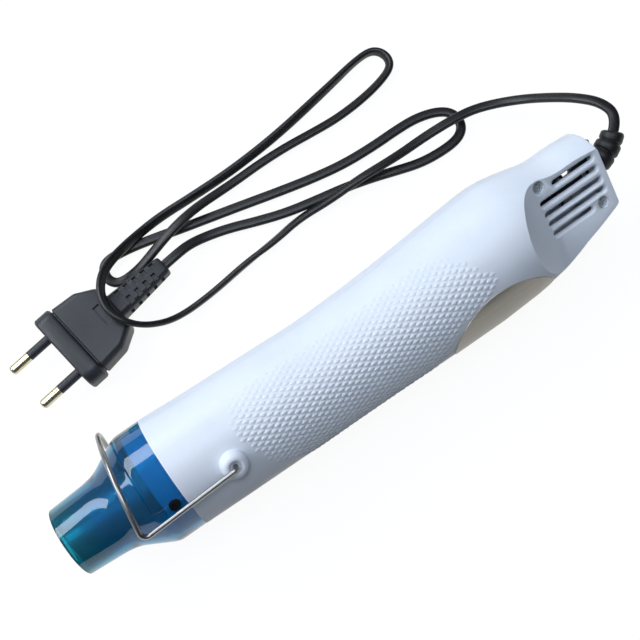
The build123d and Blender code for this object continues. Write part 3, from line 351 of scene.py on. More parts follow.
# The end wall's openings: the switch's corners, and the relief's side and radius
SWITCH_HOLE = [(10.8, -6.35), (17.6, -6.35), (17.6, 6.35), (10.8, 6.35)]
RELIEF_SIDE = 5.0
RELIEF_HOLE = 4.1
END_CUT = (190.0, 196.0)
# Turned outlines, each point a radius and a height above the split
BOSS_X = 20.1
BOSS_STEPS = 48
BOSS_PROFILE = [(5.05, 20.5), (5.05, 23.45), (4.9, 24.3), (4.5, 25.0), (3.9, 25.5), (3.2, 25.74),
                (2.75, 25.7), (2.35, 25.5), (2.05, 25.15), (1.92, 24.75), (1.78, 24.5), (1.03, 24.3),
                (1.03, 20.5)]
POST_RADIUS = 3.0
POST_BORE = 1.3
NEAR_POST = [(POST_RADIUS, 0.5), (POST_RADIUS, 11.9), (SEAT_RADIUS + SEAT_PLAY, 11.95),
             (SEAT_RADIUS + SEAT_PLAY, SEAT_FLOOR), (POST_BORE, SEAT_FLOOR), (POST_BORE, 0.5)]
FAR_POST = [(POST_RADIUS, 0.1), (POST_RADIUS, 10.6), (POST_BORE, 10.6), (POST_BORE, 0.1)]
# The spigot inside the cover, as place along the tool and radius
SPIGOT = [(-8.0, 20.45), (-8.0, 19.0), (3.5, 19.0), (3.5, 20.45)]
SPIGOT_GAP_DEGREES = 0.2
SPIGOT_STEPS = 72
SHELL_SOFTNESS = 0.25
SHELL_SHARP_DEGREES = 35.0
EDGE_STEPS = 3

# The tool's own directions: the wire support swings about the line through
# both bosses, and the two halves part square to that line.
bail_joint = next(j for j in frame["record"]["behaviour"]["joints"] if j["name"] == "bail_swing")
along = Vector((1, 0, 0))
through = -Vector(bail_joint["axis"]).normalized()
sideways = through.cross(along)


def at(x, t=0.0, b=0.0):
    return seam + (along * x + sideways * t + through * b) * MM


def full_turn(steps):
    return [math.tau * step / steps for step in range(steps)]


# The body's radius at x and how far its middle lies off the tool's axis, on a
# smooth curve through the shares above
def section(x):
    share = min(max(x / BODY_LENGTH, 0.0), 1.0)
    index = max(i for i in range(len(SECTION_SHARES) - 1) if SECTION_SHARES[i][0] <= share)
    before, after = SECTION_SHARES[index], SECTION_SHARES[index + 1]
    earlier = SECTION_SHARES[max(index - 1, 0)]
    later = SECTION_SHARES[min(index + 2, len(SECTION_SHARES) - 1)]
    width = after[0] - before[0]
    way = (share - before[0]) / width
    values = []
    for side in (1, 2):
        start = (after[side] - earlier[side]) / (after[0] - earlier[0]) * width
        end = (later[side] - before[side]) / (later[0] - before[0]) * width
        values.append((2 * way ** 3 - 3 * way ** 2 + 1) * before[side]
                      + (way ** 3 - 2 * way ** 2 + way) * start
                      + (3 * way ** 2 - 2 * way ** 3) * after[side]
                      + (way ** 3 - way ** 2) * end)
    up, down = values
    return SEAM_RADIUS * (up + down) / 2, SEAM_RADIUS * (up - down) / 2


def lofted(rings, first_cap=True, last_cap=True):
    count = len(rings[0])
    points = [point for ring in rings for point in ring]
    faces = [(i * count + j, i * count + (j + 1) % count,
              (i + 1) * count + (j + 1) % count, (i + 1) * count + j)
             for i in range(len(rings) - 1) for j in range(count)]
    last = (len(rings) - 1) * count
    if first_cap:
        faces.append(tuple(reversed(range(count))))
    if last_cap:
        faces.append(tuple(range(last, last + count)))
    return points, faces


def turned(profile, steps, spin):
    rings = [[spin(along_axis, radius, angle) for angle in full_turn(steps)]
             for radius, along_axis in profile]
    return lofted(rings, first_cap=False, last_cap=False)


def upright(profile, x, t, steps):
    return turned(profile, steps, lambda b, r, a: (x + r * math.cos(a), t + r * math.sin(a), b))


def face_outward(piece):
    mesh = bmesh.new()
    mesh.from_mesh(piece.data)
    bmesh.ops.remove_doubles(mesh, verts=mesh.verts, dist=SAME_POINT)
    bmesh.ops.recalc_face_normals(mesh, faces=mesh.faces)
    mesh.to_mesh(piece.data)
    mesh.free()
    return piece


def solid(name, shape):
    return face_outward(new_piece(name, *shape))


def cut_away(piece, cutters):
    for cutter in cutters:
        step = piece.modifiers.new("cut", "BOOLEAN")
        step.solver = "EXACT"
        step.object = cutter
    done = bpy.data.meshes.new_from_object(piece.evaluated_get(bpy.context.evaluated_depsgraph_get()))
    piece.modifiers.clear()
    piece.data = done
    for cutter in cutters:
        bpy.data.objects.remove(cutter)
    return piece


def add_mesh(piece, points, faces):
    mesh = bmesh.new()
    mesh.from_mesh(piece.data)
    verts = [mesh.verts.new(point) for point in points]
    for face in faces:
        mesh.faces.new([verts[i] for i in face])
    mesh.to_mesh(piece.data)
    mesh.free()


def set_in_place(piece, place):
    for vertex in piece.data.vertices:
        vertex.co = place(*vertex.co)
    return face_outward(piece)


def soften_edges(piece, width, sharp_degrees):
    piece.data.shade_smooth()
    bevel = piece.modifiers.new("softened_edges", "BEVEL")
    bevel.width = width * MM
    bevel.segments = EDGE_STEPS
    bevel.limit_method = "ANGLE"
    bevel.angle_limit = math.radians(sharp_degrees)
    bevel.harden_normals = True


def body_ring(x, inset):
    radius, offset = section(x)
    radius -= inset
    return [(x, offset + radius * math.cos(a), radius * math.sin(a)) for a in full_turn(RING_STEPS)]


def half_ring(x, inset):
    radius, offset = section(x)
    radius -= inset
    low = math.asin(SPLIT_GAP / radius)
    return [(x, offset + radius * math.cos(a), radius * math.sin(a)) for a in
            (low + (math.pi - 2 * low) * step / HALF_STEPS for step in range(HALF_STEPS + 1))]


def disc(x, t, radius, low, high, flare=()):
    levels = [(low, 0.0), *flare, (high, flare[-1][1] if flare else 0.0)]
    return lofted([[(x + (radius + extra) * math.cos(a), t + (radius + extra) * math.sin(a), b)
                    for a in full_turn(ROUND_STEPS)] for b, extra in levels])


def stadium(x_start, x_end, t, width, low, high, flare):
    rings = []
    for b, extra in [(low, 0.0), *flare, (high, flare[-1][1])]:
        reach = width / 2 + extra
        ring = []
        for middle, first in ((x_end - width / 2, -90), (x_start + width / 2, 90)):
            for step in range(SLOT_END_STEPS + 1):
                a = math.radians(first + 180 * step / SLOT_END_STEPS)
                ring.append((middle + reach * math.cos(a), t + reach * math.sin(a), b))
        rings.append(ring)
    return lofted(rings)


def bezier(points, steps):
    line = []
    for step in range(steps + 1):
        w = step / steps
        u = 1 - w
        line.append(tuple(u ** 3 * a + 3 * u * u * w * b + 3 * u * w * w * c + w ** 3 * d
                          for a, b, c, d in zip(*points)))
    return line


# What lies above the flat and the ramp; for the inside it is lowered and moved
# toward the nozzle
def tail_prism(drop, start_shift):
    line = [(x - start_shift, b - drop) for x, b in bezier(RAMP, RAMP_STEPS)]
    line += [(PRISM_END, FLAT - drop), (PRISM_END, PRISM_TOP), (RAMP[0][0] - start_shift, PRISM_TOP)]
    return lofted([[(x, t, b) for x, b in line] for t in (-PRISM_HALF, PRISM_HALF)])


def half_body(name, side):
    rings = [half_ring(x, 0.0) for x in STATIONS]
    for step in range(RIM_STEPS + 1):
        bend = math.radians(90 * step / RIM_STEPS)
        rings.append(half_ring(BODY_LENGTH - RIM_ROUND + RIM_ROUND * math.sin(bend),
                               RIM_ROUND - RIM_ROUND * math.cos(bend)))
    shell = solid(name, lofted(rings))
    hollow_stations = [-HOLLOW_OVERRUN] + STATIONS[1:] + [BODY_LENGTH - END_WALL]
    hollow = solid("hollow", lofted([body_ring(x, WALL) for x in hollow_stations]))
    cut_away(hollow, [solid("ramp_inside", tail_prism(WALL, WALL * RAMP_WALL_SHARE))])
    cutters = [solid("ramp", tail_prism(0.0, 0.0)), hollow]
    for x_start, x_end, t in SLOTS:
        cutters.append(solid("slot", stadium(x_start, x_end, t, SLOT_WIDTH, CUT_FLOOR, CUT_TOP, SLOT_FLARE)))
    if side > 0:
        for x, t in SCREW_SEATS:
            cutters.append(solid("seat", disc(x, t, SEAT_RADIUS, CUT_FLOOR, CUT_TOP, SEAT_FLARE)))
    relief_hole = [(RELIEF_SIDE + RELIEF_HOLE * math.cos(a), RELIEF_HOLE * math.sin(a))
                   for a in full_turn(ROUND_STEPS)]
    for outline in (SWITCH_HOLE, relief_hole):
        cutters.append(solid("end_hole", lofted([[(x, t, b) for t, b in outline] for x in END_CUT])))
    return cut_away(shell, cutters)


# The grips lie in staggered rows. The field's front and rear edge are given as
# degrees round the body and a place along it. The grips grow lower on the side
# away from the rating plate, and at both ends of each row.
GRIP_PITCH = 4.2
GRIP_ROW = 1.3
GRIP_STAGGER = 0.5
GRIP_HALF = (1.36, 1.04)
GRIP_HEIGHT = 0.29
GRIP_ROOT = -0.06
GRIP_SKIN = 24.0
GRIP_SIDES = 8
GRIP_PINCH = 0.86
# Each higher ring's share of the grip's width and of its height
GRIP_DOME_SHARES = [(0.82, 0.35), (0.55, 0.8), (0.22, 1.0)]
GRIP_ROWS = range(-40, 40)
GRIP_SPREAD = (-62, 56)
GRIP_FADE_END = 62
GRIP_FADE_DEGREES = 55
GRIP_LEAST_SHARE = 0.25
GRIP_EDGE_SHARE = 0.45
GRIP_EDGE_RISE = 0.15
GRIP_FRONT = [(-64, 48.0), (-49, 40.8), (-18, 31.3), (-3, 29.5), (15, 26.4), (46, 27.6), (60, 30.0)]
GRIP_REAR = [(-64, 100.0), (-49, 104.5), (-30, 107.5), (-16, 114.0), (-8, 127.0), (-1.5, 133.5), (7, 133.3),
             (46, 122.0), (60, 110.0)]


def between(table, value):
    for (a, x), (b, y) in zip(table, table[1:]):
        if a <= value <= b:
            return x + (y - x) * (value - a) / (b - a)
    return table[0][1] if value < table[0][0] else table[-1][1]


def on_skin(x, angle, lift):
    radius, offset = section(x)
    return (x, offset + (radius + lift) * math.sin(angle), (radius + lift) * math.cos(angle))


def one_grip(x, angle, height):
    rings = []
    for share, lift in [(1.0, GRIP_ROOT)] + [(share, rise * height) for share, rise in GRIP_DOME_SHARES]:
        ring = []
        for step, spin in enumerate(full_turn(GRIP_SIDES)):
            reach = share * (1.0 if step % 2 == 0 else GRIP_PINCH)
            dx = GRIP_HALF[0] * reach * math.cos(spin)
            dt = GRIP_HALF[1] * reach * math.sin(spin)
            ring.append(on_skin(x + dx, math.radians(angle) + dt / GRIP_SKIN, lift))
        rings.append(ring)
    return lofted(rings, first_cap=False)


def grips():
    points, faces = [], []
    row_degrees = math.degrees(GRIP_ROW / GRIP_SKIN)
    for row in GRIP_ROWS:
        angle = row * row_degrees
        if not GRIP_SPREAD[0] <= angle <= GRIP_SPREAD[1]:
            continue
        fade = min(1.0, max(GRIP_LEAST_SHARE, (GRIP_FADE_END - angle) / GRIP_FADE_DEGREES))
        shift = (row % 2) * GRIP_STAGGER
        start, end = between(GRIP_FRONT, angle), between(GRIP_REAR, angle)
        for column in range(math.ceil(start / GRIP_PITCH - shift), math.floor(end / GRIP_PITCH - shift) + 1):
            x = (column + shift) * GRIP_PITCH
            edge = min(1.0, GRIP_EDGE_SHARE + GRIP_EDGE_RISE * min(x - start, end - x))
            grip_points, grip_faces = one_grip(x, angle, GRIP_HEIGHT * fade * edge)
            base = len(points)
            points += grip_points
            faces += [tuple(base + i for i in face) for face in grip_faces]
    return points, faces


# Moulded ABS: cool white with a faint mottle and a broad satin shine.
abs_plastic = finish("cool_white_moulded_abs", dark="E2E9F3", light="E9EFF8", grain=1.2, rough=(0.36, 0.46),
                     bump=0.10, depth=0.02)
spigot_turns = [math.radians(SPIGOT_GAP_DEGREES + (180 - 2 * SPIGOT_GAP_DEGREES) * step / SPIGOT_STEPS)
                for step in range(SPIGOT_STEPS + 1)]
spigot = lofted([[(x, r * math.cos(a), r * math.sin(a)) for x, r in SPIGOT] for a in spigot_turns])
for name, side, post in (("near_shell", 1, NEAR_POST), ("far_shell", -1, FAR_POST)):
    shell = half_body("body_" + name, side)
    add_mesh(shell, *upright(BOSS_PROFILE, BOSS_X, 0.0, BOSS_STEPS))
    add_mesh(shell, *grips())
    add_mesh(shell, *spigot)
    for x, t in SCREW_SEATS:
        add_mesh(shell, *upright(post, x, t, ROUND_STEPS))
    set_in_place(shell, lambda x, t, b: at(x, t, side * b))
    coat(shell, abs_plastic)
    soften_edges(shell, SHELL_SOFTNESS, SHELL_SHARP_DEGREES)
    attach(shell, "tool")
    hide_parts(name)

# Nozzle cover
# One tapered tube of clear blue polycarbonate, polished inside and out, that
# slides over the body's spigot and is held by a small black screw each side.
MOUTH_X = -43.4
NECK_X = -27.0
# Place along the tool and radius
COVER_OUTER = [(0.0, SEAM_RADIUS), (-0.25, 22.22), (-9.4, 22.2), (-10.6, 22.1), (-11.6, 21.8), (-12.7, 21.35),
               (-21.6, 16.55), (-23.2, 15.78), (-24.9, 15.2), (-26.7, 14.83), (-28.6, 14.5), (-42.9, 13.52),
               (-43.2, 13.42), (MOUTH_X, 13.15)]
COVER_INNER = [(MOUTH_X, 12.2), (-43.1, 11.98), (-42.6, 11.9), (NECK_X, 12.55), (-23.5, 13.75), (-14.5, 18.2),
               (-11.0, 20.1), (-9.3, 20.6), (-0.25, 20.65), (0.0, 20.7)]
COVER_STEPS = 160
COVER_SHARP_DEGREES = 35.0
SCREW_X = -4.0
SCREW_HOLE = 2.25
SCREW_HOLE_CUTS = [(17.0, 25.0), (-25.0, -17.0)]
COVER_BLUES = ("0A769E", "1682A8")
COVER_IOR = 1.58
COVER_ROUGHNESS = 0.04
COVER_CLEARNESS = 0.94
PASSED_LIGHT = "A4DEF7"
# Painted light: a greener tint toward the mouth for light seen through the cover there, not a colour of the
# plastic
MOUTH_PAINTED_LIGHT_TINT = "14929E"
MOUTH_PAINTED_LIGHT_SHARE = 0.75
FLOW_MARKS_PER_MM = 0.06
FLOW_DETAIL = 2.0
FLOW_RELIEF = 0.12
FLOW_DEPTH = 0.2

cover_profile = [(r, x) for x, r in COVER_OUTER + COVER_INNER]
cover_profile.append(cover_profile[0])
cover = solid("nozzle_cover_shell", turned(cover_profile, COVER_STEPS,
                                           lambda x, r, a: (x, r * math.cos(a), r * math.sin(a))))
cut_away(cover, [solid("screw_hole", disc(SCREW_X, 0.0, SCREW_HOLE, low, high))
                 for low, high in SCREW_HOLE_CUTS])
set_in_place(cover, at)
cover.data.shade_smooth()
cover.data.set_sharp_from_angle(angle=math.radians(COVER_SHARP_DEGREES))

# Clear tinted polycarbonate: sharp reflections over a deep blue, with a painted
# greener tint toward the mouth that stands in for light seen through the cover there.
# Faint flow marks from the moulding, some 17 mm long, bend what is seen through it.
# Light that passes it is tinted a pale blue, so the heater inside is lit.
blue_clear, tree = new_material("clear_blue_polycarbonate")
coords = add_node(tree, "ShaderNodeTexCoord")
flow = add_node(tree, "ShaderNodeTexNoise", values={"Scale": FLOW_MARKS_PER_MM / MM, "Detail": FLOW_DETAIL},
                links={"Vector": coords.outputs["Object"]})
depth_of_blue = add_node(tree, "ShaderNodeMix", {"data_type": "RGBA"},
                         values={"A": linear(COVER_BLUES[0]), "B": linear(COVER_BLUES[1])},
                         links={"Factor": flow.outputs["Fac"]})
where = add_node(tree, "ShaderNodeSeparateXYZ", links={0: coords.outputs["Object"]})
# Painted light: the greener mouth tint fades in from the neck to the mouth
painted_mouth_light = add_node(tree, "ShaderNodeMapRange", {"interpolation_type": "SMOOTHSTEP"},
                      values={"From Min": at(MOUTH_X).x, "From Max": at(NECK_X).x,
                              "To Min": MOUTH_PAINTED_LIGHT_SHARE, "To Max": 0.0},
                      links={"Value": where.outputs["X"]})
blue_with_painted_mouth_light = add_node(tree, "ShaderNodeMix", {"data_type": "RGBA"}, values={"B": linear(MOUTH_PAINTED_LIGHT_TINT)},
                      links={"Factor": painted_mouth_light.outputs[0], "A": depth_of_blue.outputs["Result"]})
ripple = add_node(tree, "ShaderNodeBump", values={"Strength": FLOW_RELIEF, "Distance": FLOW_DEPTH * MM},
                  links={"Height": flow.outputs["Fac"]})
clear = add_node(tree, "ShaderNodeBsdfPrincipled",
                 values={"IOR": COVER_IOR, "Roughness": COVER_ROUGHNESS,
                         "Transmission Weight": COVER_CLEARNESS},
                 links={"Base Color": blue_with_painted_mouth_light.outputs["Result"], "Normal": ripple.outputs[0]})
light_way = add_node(tree, "ShaderNodeLightPath")
passed_light = add_node(tree, "ShaderNodeBsdfTransparent", values={"Color": linear(PASSED_LIGHT)})
lit_inside = add_node(tree, "ShaderNodeMixShader",
                      links={0: light_way.outputs["Is Shadow Ray"], 1: clear.outputs[0],
                             2: passed_light.outputs[0]})
add_node(tree, "ShaderNodeOutputMaterial", links={"Surface": lit_inside.outputs[0]})
coat(cover, blue_clear)
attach(cover, "tool")
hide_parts("nozzle_cover")

# Screws
# Two blackened pan-head screws hold the cover on the spigot, and two plated
# ones at the bottom of the near shell's seats draw the halves together.

# Blackened steel: nearly black, with small sharp glints on the recess.
black_steel = finish("blackened_steel", dark="2A2C30", light="46494E", grain=0.4, rough=(0.25, 0.42),
                     bump=0.2, depth=0.01, metal=0.9)
dress(black_steel, "cover_screws")
# Zinc plate: pale, slightly blue and dulled.
zinc_plate = finish("zinc_plated_steel", dark="C4C8CC", light="DADDE0", grain=0.9, rough=(0.4, 0.5),
                    bump=0.02, depth=0.01, metal=0.8)
dress(zinc_plate, "tail_screws")

# Wire support
# One length of drawn stainless wire, bent to a hoop and sprung into the two
# bosses; it swings out to hold the hot tool off the table.

# Drawn wire: mid grey with one clean line of light along it.
stainless_wire = finish("drawn_stainless_wire", dark="8F8F8E", light="A3A2A0", grain=2.0, rough=(0.26, 0.34),
                        bump=0.03, depth=0.01, metal=1.0)
dress(stainless_wire, "bail_wire")

# Rocker switch
# A switch of black nylon that snaps into the end wall beside the relief. Its
# rocker tilts across the tool.

# Moulded nylon: the frame's is dull, and the rocker's has a glossy face.
frame_nylon = finish("black_switch_nylon", dark="1B1C1E", light="27282B", grain=0.9, rough=(0.4, 0.55),
                     bump=0.2, depth=0.03)
dress(frame_nylon, "switch_frame")
rocker_nylon = finish("gloss_rocker_nylon", dark="121315", light="1C1D20", grain=0.9, rough=(0.18, 0.28),
                      bump=0.05, depth=0.01)
dress(rocker_nylon, "switch_rocker")

# Rating plate
# A bare oval of silver-beige foil, brushed along the tool and stuck on the
# near shell's lower side.

# Brushed foil: streaks along the tool that spread the light across it.
foil = finish("brushed_foil_label", dark="9C968A", light="B2ACA0", grain=0.5, rough=(0.3, 0.42),
              bump=0.1, depth=0.01, metal=0.45, stretch=(0.08, 1.0, 1.0))
dress(foil, "rating_label")

# Strain relief
# A black PVC boot snapped through the end wall, with fat ribs that let it
# bend toward the cord.
RELIEF_ANGLE = 50.0
RELIEF_BEND = 20.1
RELIEF_STEPS = 40
RELIEF_SHARP_DEGREES = 50.0
# Share of the boot's length and radius
RELIEF_PROFILE = [(0.0, 4.6), (0.02, 4.95), (0.205, 4.85), (0.225, 4.6), (0.24, 4.55), (0.255, 4.9),
                  (0.29, 5.35), (0.44, 5.25), (0.475, 4.85), (0.49, 4.4), (0.505, 4.4), (0.52, 4.75),
                  (0.555, 5.1), (0.70, 5.0), (0.735, 4.6), (0.75, 4.2), (0.765, 4.2), (0.78, 4.4),
                  (0.815, 4.6), (0.93, 4.5), (0.97, 4.2), (0.99, 3.7), (1.0, 3.2), (1.0, 1.2)]


def relief_frame(share):
    bend = math.radians(RELIEF_ANGLE) * share
    heading = along * math.cos(bend) + sideways * math.sin(bend)
    place = at(BODY_LENGTH + RELIEF_BEND * math.sin(bend), RELIEF_SIDE + RELIEF_BEND * (1 - math.cos(bend)))
    return place, heading


boot_rings = []
for share, radius in RELIEF_PROFILE:
    place, heading = relief_frame(share)
    beside = through.cross(heading)
    boot_rings.append([place + (beside * math.cos(a) + through * math.sin(a)) * radius * MM
                       for a in full_turn(RELIEF_STEPS)])
boot = solid("relief_boot", lofted(boot_rings))
boot.data.shade_smooth()
boot.data.set_sharp_from_angle(angle=math.radians(RELIEF_SHARP_DEGREES))
# Moulded soft PVC: black, dull and slightly uneven.
boot_pvc = finish("black_moulded_pvc", dark="0E0F10", light="18191B", grain=0.8, rough=(0.42, 0.58),
                  bump=0.25, depth=0.05)
coat(boot, boot_pvc)
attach(boot, "tool")
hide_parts("strain_relief")

# Mains plug
# A flat two-pin plug of black PVC moulded round the cord in one shot, with a
# finger flange behind the pins and a slotted, bendable tail.
PLUG_ORIGIN = (-4.5, 66.9, 6.85)
PLUG_TURN = 9.0
PLUG_RELIEF_END = 45.2
TAIL_ROOT = (20.5, 5.5)
TAIL_TIP = (43.9, 4.0)
# Place along the plug, half width, half height and corner radius
PLUG_RINGS = [(-7.8, 16.6, 5.9, 4.2), (-7.45, 17.25, 6.5, 4.7), (-6.9, 17.63, 6.84, 5.0),
              (-1.0, 17.63, 6.84, 5.0), (-0.4, 17.3, 6.55, 4.8), (-0.1, 16.7, 6.0, 4.3),
              (0.05, 15.7, 5.2, 3.4), (0.5, 15.7, 5.2, 3.4), (0.6, 16.0, 5.5, 2.9),
              (0.9, 16.22, 5.78, 2.8), (10.5, 15.2, 5.8, 2.6), (11.4, 14.98, 5.8, 2.6),
              (12.2, 14.55, 5.8, 2.6), (13.0, 14.05, 5.8, 2.6), (18.0, 11.2, 5.75, 2.6),
              (18.8, 10.6, 5.65, 2.7), (19.3, 9.9, 5.4, 2.9), (19.55, 8.9, 5.1, 3.0),
              (19.65, 7.2, 4.85, 2.8), (19.9, 6.0, 4.65, 2.6), (*TAIL_ROOT, 4.6, 2.5),
              (*TAIL_TIP, 3.45, 1.9), (44.7, 3.8, 3.25, 1.8), (45.1, 3.4, 2.9, 1.6),
              (PLUG_RELIEF_END, 2.9, 2.4, 1.3)]
CORNER_DEGREES = (0, 12, 28, 45, 62, 78, 90)
# The tail's slots: two rows on its top and bottom, which start and end at
# shares of its half width, and one row on each edge
TAIL_SLOTS = 5
TAIL_SLOT_START = 19.5
TAIL_PITCH = 4.28
TAIL_TOP_SHARE = 0.85
TAIL_LEFT_SHARES = (0.08, 0.76)
TAIL_RIGHT_SHARES = (-0.8, -0.12)
TAIL_EDGE_SHARES = (-0.5, 0.5)
TOP_SLOT_HALF = 1.0
TOP_SLOT_DEPTH = 1.2
EDGE_SLOT_HALF = 0.75
EDGE_SLOT_DEPTH = 0.95
SLOT_OVERRUN = 1.0
FINGER_GROOVE = (12.5, 15.5, -4.5, 4.5, 5.0, 7.0)
SLOT_CORNER = 0.7
SLOT_CORNER_SHARE = 0.9
PLUG_SOFTNESS = 0.12
PLUG_SHARP_DEGREES = 40.0

plug_turn = math.radians(PLUG_TURN)
plug_forward = Vector((math.cos(plug_turn), math.sin(plug_turn), 0))
plug_sideways = Vector((-math.sin(plug_turn), math.cos(plug_turn), 0))


def on_plug(x, y=0.0, z=0.0):
    return on_table(*PLUG_ORIGIN) + (plug_forward * x + plug_sideways * y + Vector((0, 0, z))) * MM


def rounded(half_width, half_height, corner):
    outline = []
    for side, up, first in ((1, 1, 0), (-1, 1, 90), (-1, -1, 180), (1, -1, 270)):
        for degrees in CORNER_DEGREES:
            a = math.radians(first + degrees)
            outline.append((side * (half_width - corner) + corner * math.cos(a),
                            up * (half_height - corner) + corner * math.sin(a)))
    return outline


def block(x_start, x_end, y_start, y_end, z_start, z_end):
    half_y, half_z = (y_end - y_start) / 2, (z_end - z_start) / 2
    middle_y, middle_z = (y_start + y_end) / 2, (z_start + z_end) / 2
    outline = rounded(half_y, half_z, min(half_y, half_z, SLOT_CORNER) * SLOT_CORNER_SHARE)
    return solid("slot", lofted([[(x, middle_y + y, middle_z + z) for y, z in outline]
                                 for x in (x_start, x_end)]))


plug = solid("moulded_plug", lofted([[(x, y, z) for y, z in rounded(half_width, half_height, corner)]
                                     for x, half_width, half_height, corner in PLUG_RINGS]))
plug_cuts = []
for index in range(TAIL_SLOTS):
    x = TAIL_SLOT_START + (index + 1) * TAIL_PITCH
    late = x + TAIL_PITCH / 2
    half = between([TAIL_ROOT, TAIL_TIP], x)
    for up in (1, -1):
        top = TAIL_TOP_SHARE * half * up
        low, high = sorted((top - TOP_SLOT_DEPTH * up, top + SLOT_OVERRUN * up))
        start, end = (share * half for share in TAIL_LEFT_SHARES)
        plug_cuts.append(block(x - TOP_SLOT_HALF, x + TOP_SLOT_HALF, start, end, low, high))
        if index < TAIL_SLOTS - 1:
            start, end = (share * half for share in TAIL_RIGHT_SHARES)
            plug_cuts.append(block(late - TOP_SLOT_HALF, late + TOP_SLOT_HALF, start, end, low, high))
    for side in (1, -1):
        start, end = sorted((side * (half - EDGE_SLOT_DEPTH), side * (half + SLOT_OVERRUN)))
        low, high = (share * half for share in TAIL_EDGE_SHARES)
        plug_cuts.append(block(x - EDGE_SLOT_HALF, x + EDGE_SLOT_HALF, start, end, low, high))
plug_cuts.append(block(*FINGER_GROOVE))
cut_away(plug, plug_cuts)
set_in_place(plug, on_plug)
soften_edges(plug, PLUG_SOFTNESS, PLUG_SHARP_DEGREES)
# Moulded plug PVC: charcoal, harder and more satin than the boot.
plug_pvc = finish("black_satin_plug_pvc", dark="1F2226", light="2A2D32", grain=0.9, rough=(0.36, 0.5),
                  bump=0.25, depth=0.04)
coat(plug, plug_pvc)
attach(plug, "tool")
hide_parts("plug_body")

# Plug pins
# Two plated brass pins, moulded into the plug, each with a black nylon sleeve
# on its inner half.

# Plated brass: a bright, slightly yellow metal with sharp reflections.
plated_brass = finish("plated_brass_pin", dark="C9BE9A", light="DCD3B4", grain=0.9, rough=(0.18, 0.28),
                      bump=0.02, depth=0.01, metal=1.0)
dress(plated_brass, "plug_pins")
# Sleeve nylon: dark grey and dull beside the bright pin.
sleeve_nylon = finish("pin_sleeve_nylon", dark="232427", light="303136", grain=0.8, rough=(0.4, 0.55),
                      bump=0.2, depth=0.02)
dress(sleeve_nylon, "plug_pin_sleeves")

# Mains cord
# Flat black twin flex, 4.2 by 2.5 mm with a groove between its cores, from
# the tail's relief round its loops to the plug; it twists where it lifts.
CORD_WIDTH = 4.2
CORD_THICKNESS = 2.5
CORE_DEGREES = 78
CORE_STEPS = 8
CORD_LEAD_OUT = 6.0
CORD_STEPS = 8
CORD_ROUTE = [
    (212.3, 21.5, 33.5),
    (208.2, 30.0, 28.5),
    (203.5, 38.0, 21.5),
    (198.2, 45.5, 14.5),
    (190.0, 52.0, 9.8),
    (180.5, 56.0, 8.4),
    (170.0, 57.2, 8.4),
    (158.0, 58.2, 6.6),
    (147.0, 57.9, 6.6),
    (137.0, 57.6, 8.3),
    (124.5, 58.2, 8.3),
    (110.8, 58.9, 4.2),
    (96.0, 60.3, 2.2),
    (83.0, 58.2, 2.2),
    (67.8, 57.2, 2.2),
    (49.1, 54.4, 2.2),
    (32.5, 53.2, 4.0),
    (22.0, 55.2, 10.0),
    (15.5, 59.5, 15.8),
    (12.3, 66.0, 17.0),
    (12.6, 73.0, 17.0),
    (15.5, 79.5, 15.4),
    (20.5, 84.8, 12.4),
    (28.0, 88.8, 8.4),
    (38.0, 92.4, 3.8),
    (50.0, 94.3, 2.2),
    (65.0, 94.0, 2.2),
    (83.0, 94.1, 2.2),
    (100.0, 95.4, 2.2),
    (114.0, 97.2, 2.2),
    (128.0, 99.7, 2.2),
    (143.0, 102.5, 2.2),
    (155.5, 105.1, 2.2),
    (164.0, 105.6, 2.2),
    (167.8, 102.7, 2.2),
    (168.9, 98.0, 2.2),
    (166.7, 93.8, 2.2),
    (158.5, 90.8, 2.2),
    (147.5, 88.8, 2.2),
    (134.3, 87.9, 2.2),
    (122.0, 88.7, 2.2),
    (110.0, 89.7, 2.2),
    (97.0, 89.9, 2.2),
    (84.0, 89.2, 2.4),
    (73.5, 88.6, 3.6),
    (64.5, 87.5, 6.0),
    (56.0, 85.5, 8.2),
    (46.5, 83.1, 8.2),
    (38.0, 81.3, 5.4),
    (30.5, 79.9, 2.8),
    (21.6, 79.5, 2.2),
    (18.3, 82.8, 2.2),
    (18.3, 87.6, 2.2),
    (21.6, 90.9, 2.2),
    (30.0, 90.6, 2.2),
    (42.5, 88.0, 2.2),
    (54.0, 85.0, 2.2),
    (66.0, 82.2, 2.2),
    (80.0, 78.9, 2.2),
    (95.0, 75.2, 2.2),
    (110.0, 71.8, 2.2),
    (125.0, 69.3, 2.2),
    (140.0, 68.7, 2.2),
    (152.0, 69.0, 2.2),
    (161.5, 68.6, 2.2),
    (169.5, 66.4, 2.2),
    (174.7, 63.0, 2.2),
    (176.3, 58.1, 2.2),
    (174.4, 53.3, 2.2),
    (169.4, 50.6, 2.2),
    (160.5, 50.2, 2.2),
    (151.0, 51.2, 2.2),
    (141.5, 54.1, 2.2),
    (130.5, 57.7, 2.2),
    (119.0, 60.6, 2.2),
    (106.0, 62.9, 2.2),
    (93.0, 65.6, 2.2),
    (81.0, 69.6, 2.2),
    (70.5, 73.6, 2.2),
    (61.0, 75.8, 3.0),
    (53.0, 76.2, 5.2),
]
# How far the flat cord is turned on its edge, in degrees, at some of its points
CORD_TWISTS = [(0, 0), (8, 10), (15, 55), (16, 85), (19, 75), (26, 53), (32, 55), (34, 88), (35, 88),
               (38, 48), (40, 32), (43, 25), (59, 0), (90, 0)]
CORD_BLACKS = ("080809", "111113")
CORD_IOR = 1.52
CORD_ROUGHNESS = (0.32, 0.5)
SCUFFS_PER_MM = 0.9
SCUFF_DETAIL = 3.0
SCUFF_RELIEF = 0.15
SCUFF_DEPTH = 0.1


def new_curve(name, dimensions, kind, places):
    curve = bpy.data.curves.new(name, "CURVE")
    curve.dimensions = dimensions
    spline = curve.splines.new(kind)
    spline.points.add(len(places) - 1)
    for point, place in zip(spline.points, places):
        point.co = (*place, 1)
    piece = bpy.data.objects.new(name, curve)
    bpy.context.scene.collection.objects.link(piece)
    return piece, spline


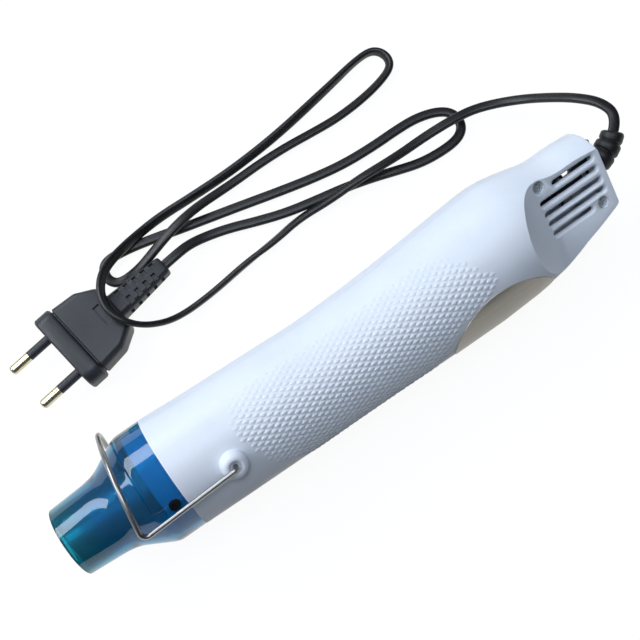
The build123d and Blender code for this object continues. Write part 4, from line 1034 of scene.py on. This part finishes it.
core = CORD_THICKNESS / 2
core_place = CORD_WIDTH / 2 - core
section_points = []
for side in (1, -1):
    for step in range(CORE_STEPS + 1):
        angle = math.radians(-CORE_DEGREES + 2 * CORE_DEGREES * step / CORE_STEPS)
        section_points.append((side * (core_place + core * math.cos(angle)) * MM,
                               side * core * math.sin(angle) * MM, 0))
section_shape, section_spline = new_curve("cord_section", "2D", "POLY", section_points)
section_spline.use_cyclic_u = True
section_shape.hide_render = True
section_shape.hide_viewport = True

relief_end, relief_heading = relief_frame(1.0)
cord_points = [relief_end, relief_end + relief_heading * CORD_LEAD_OUT * MM]
cord_points += [on_table(*place) for place in CORD_ROUTE]
cord_points += [on_plug(PLUG_RELIEF_END + CORD_LEAD_OUT), on_plug(PLUG_RELIEF_END)]
cord, cord_spline = new_curve("mains_cord", "3D", "NURBS", cord_points)
for index, point in enumerate(cord_spline.points):
    point.tilt = math.radians(between(CORD_TWISTS, index))
cord_spline.order_u = 3
cord_spline.use_endpoint_u = True
cord_spline.resolution_u = CORD_STEPS
cord.data.twist_mode = "Z_UP"
cord.data.bevel_mode = "OBJECT"
cord.data.bevel_object = section_shape
cord.data.use_fill_caps = True

# Soft PVC sheath: black with a satin line of light, broken by small scuffs.
# Real scuffs are some 0.1 mm wide. These are drawn about 1 mm wide, to show.
cord_pvc, tree = new_material("black_pvc_flex")
coords = add_node(tree, "ShaderNodeTexCoord")
scuffs = add_node(tree, "ShaderNodeTexNoise", values={"Scale": SCUFFS_PER_MM / MM, "Detail": SCUFF_DETAIL},
                  links={"Vector": coords.outputs["Object"]})
roughness = add_node(tree, "ShaderNodeMapRange",
                     values={"To Min": CORD_ROUGHNESS[0], "To Max": CORD_ROUGHNESS[1]},
                     links={"Value": scuffs.outputs["Fac"]})
tint = add_node(tree, "ShaderNodeMix", {"data_type": "RGBA"},
                values={"A": linear(CORD_BLACKS[0]), "B": linear(CORD_BLACKS[1])},
                links={"Factor": scuffs.outputs["Fac"]})
bump = add_node(tree, "ShaderNodeBump", values={"Strength": SCUFF_RELIEF, "Distance": SCUFF_DEPTH * MM},
                links={"Height": scuffs.outputs["Fac"]})
sheath = add_node(tree, "ShaderNodeBsdfPrincipled", values={"IOR": CORD_IOR},
                  links={"Base Color": tint.outputs["Result"], "Roughness": roughness.outputs[0],
                         "Normal": bump.outputs[0]})
add_node(tree, "ShaderNodeOutputMaterial", links={"Surface": sheath.outputs[0]})
coat(cord, cord_pvc)
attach(cord, "tool")
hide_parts("power_cord")
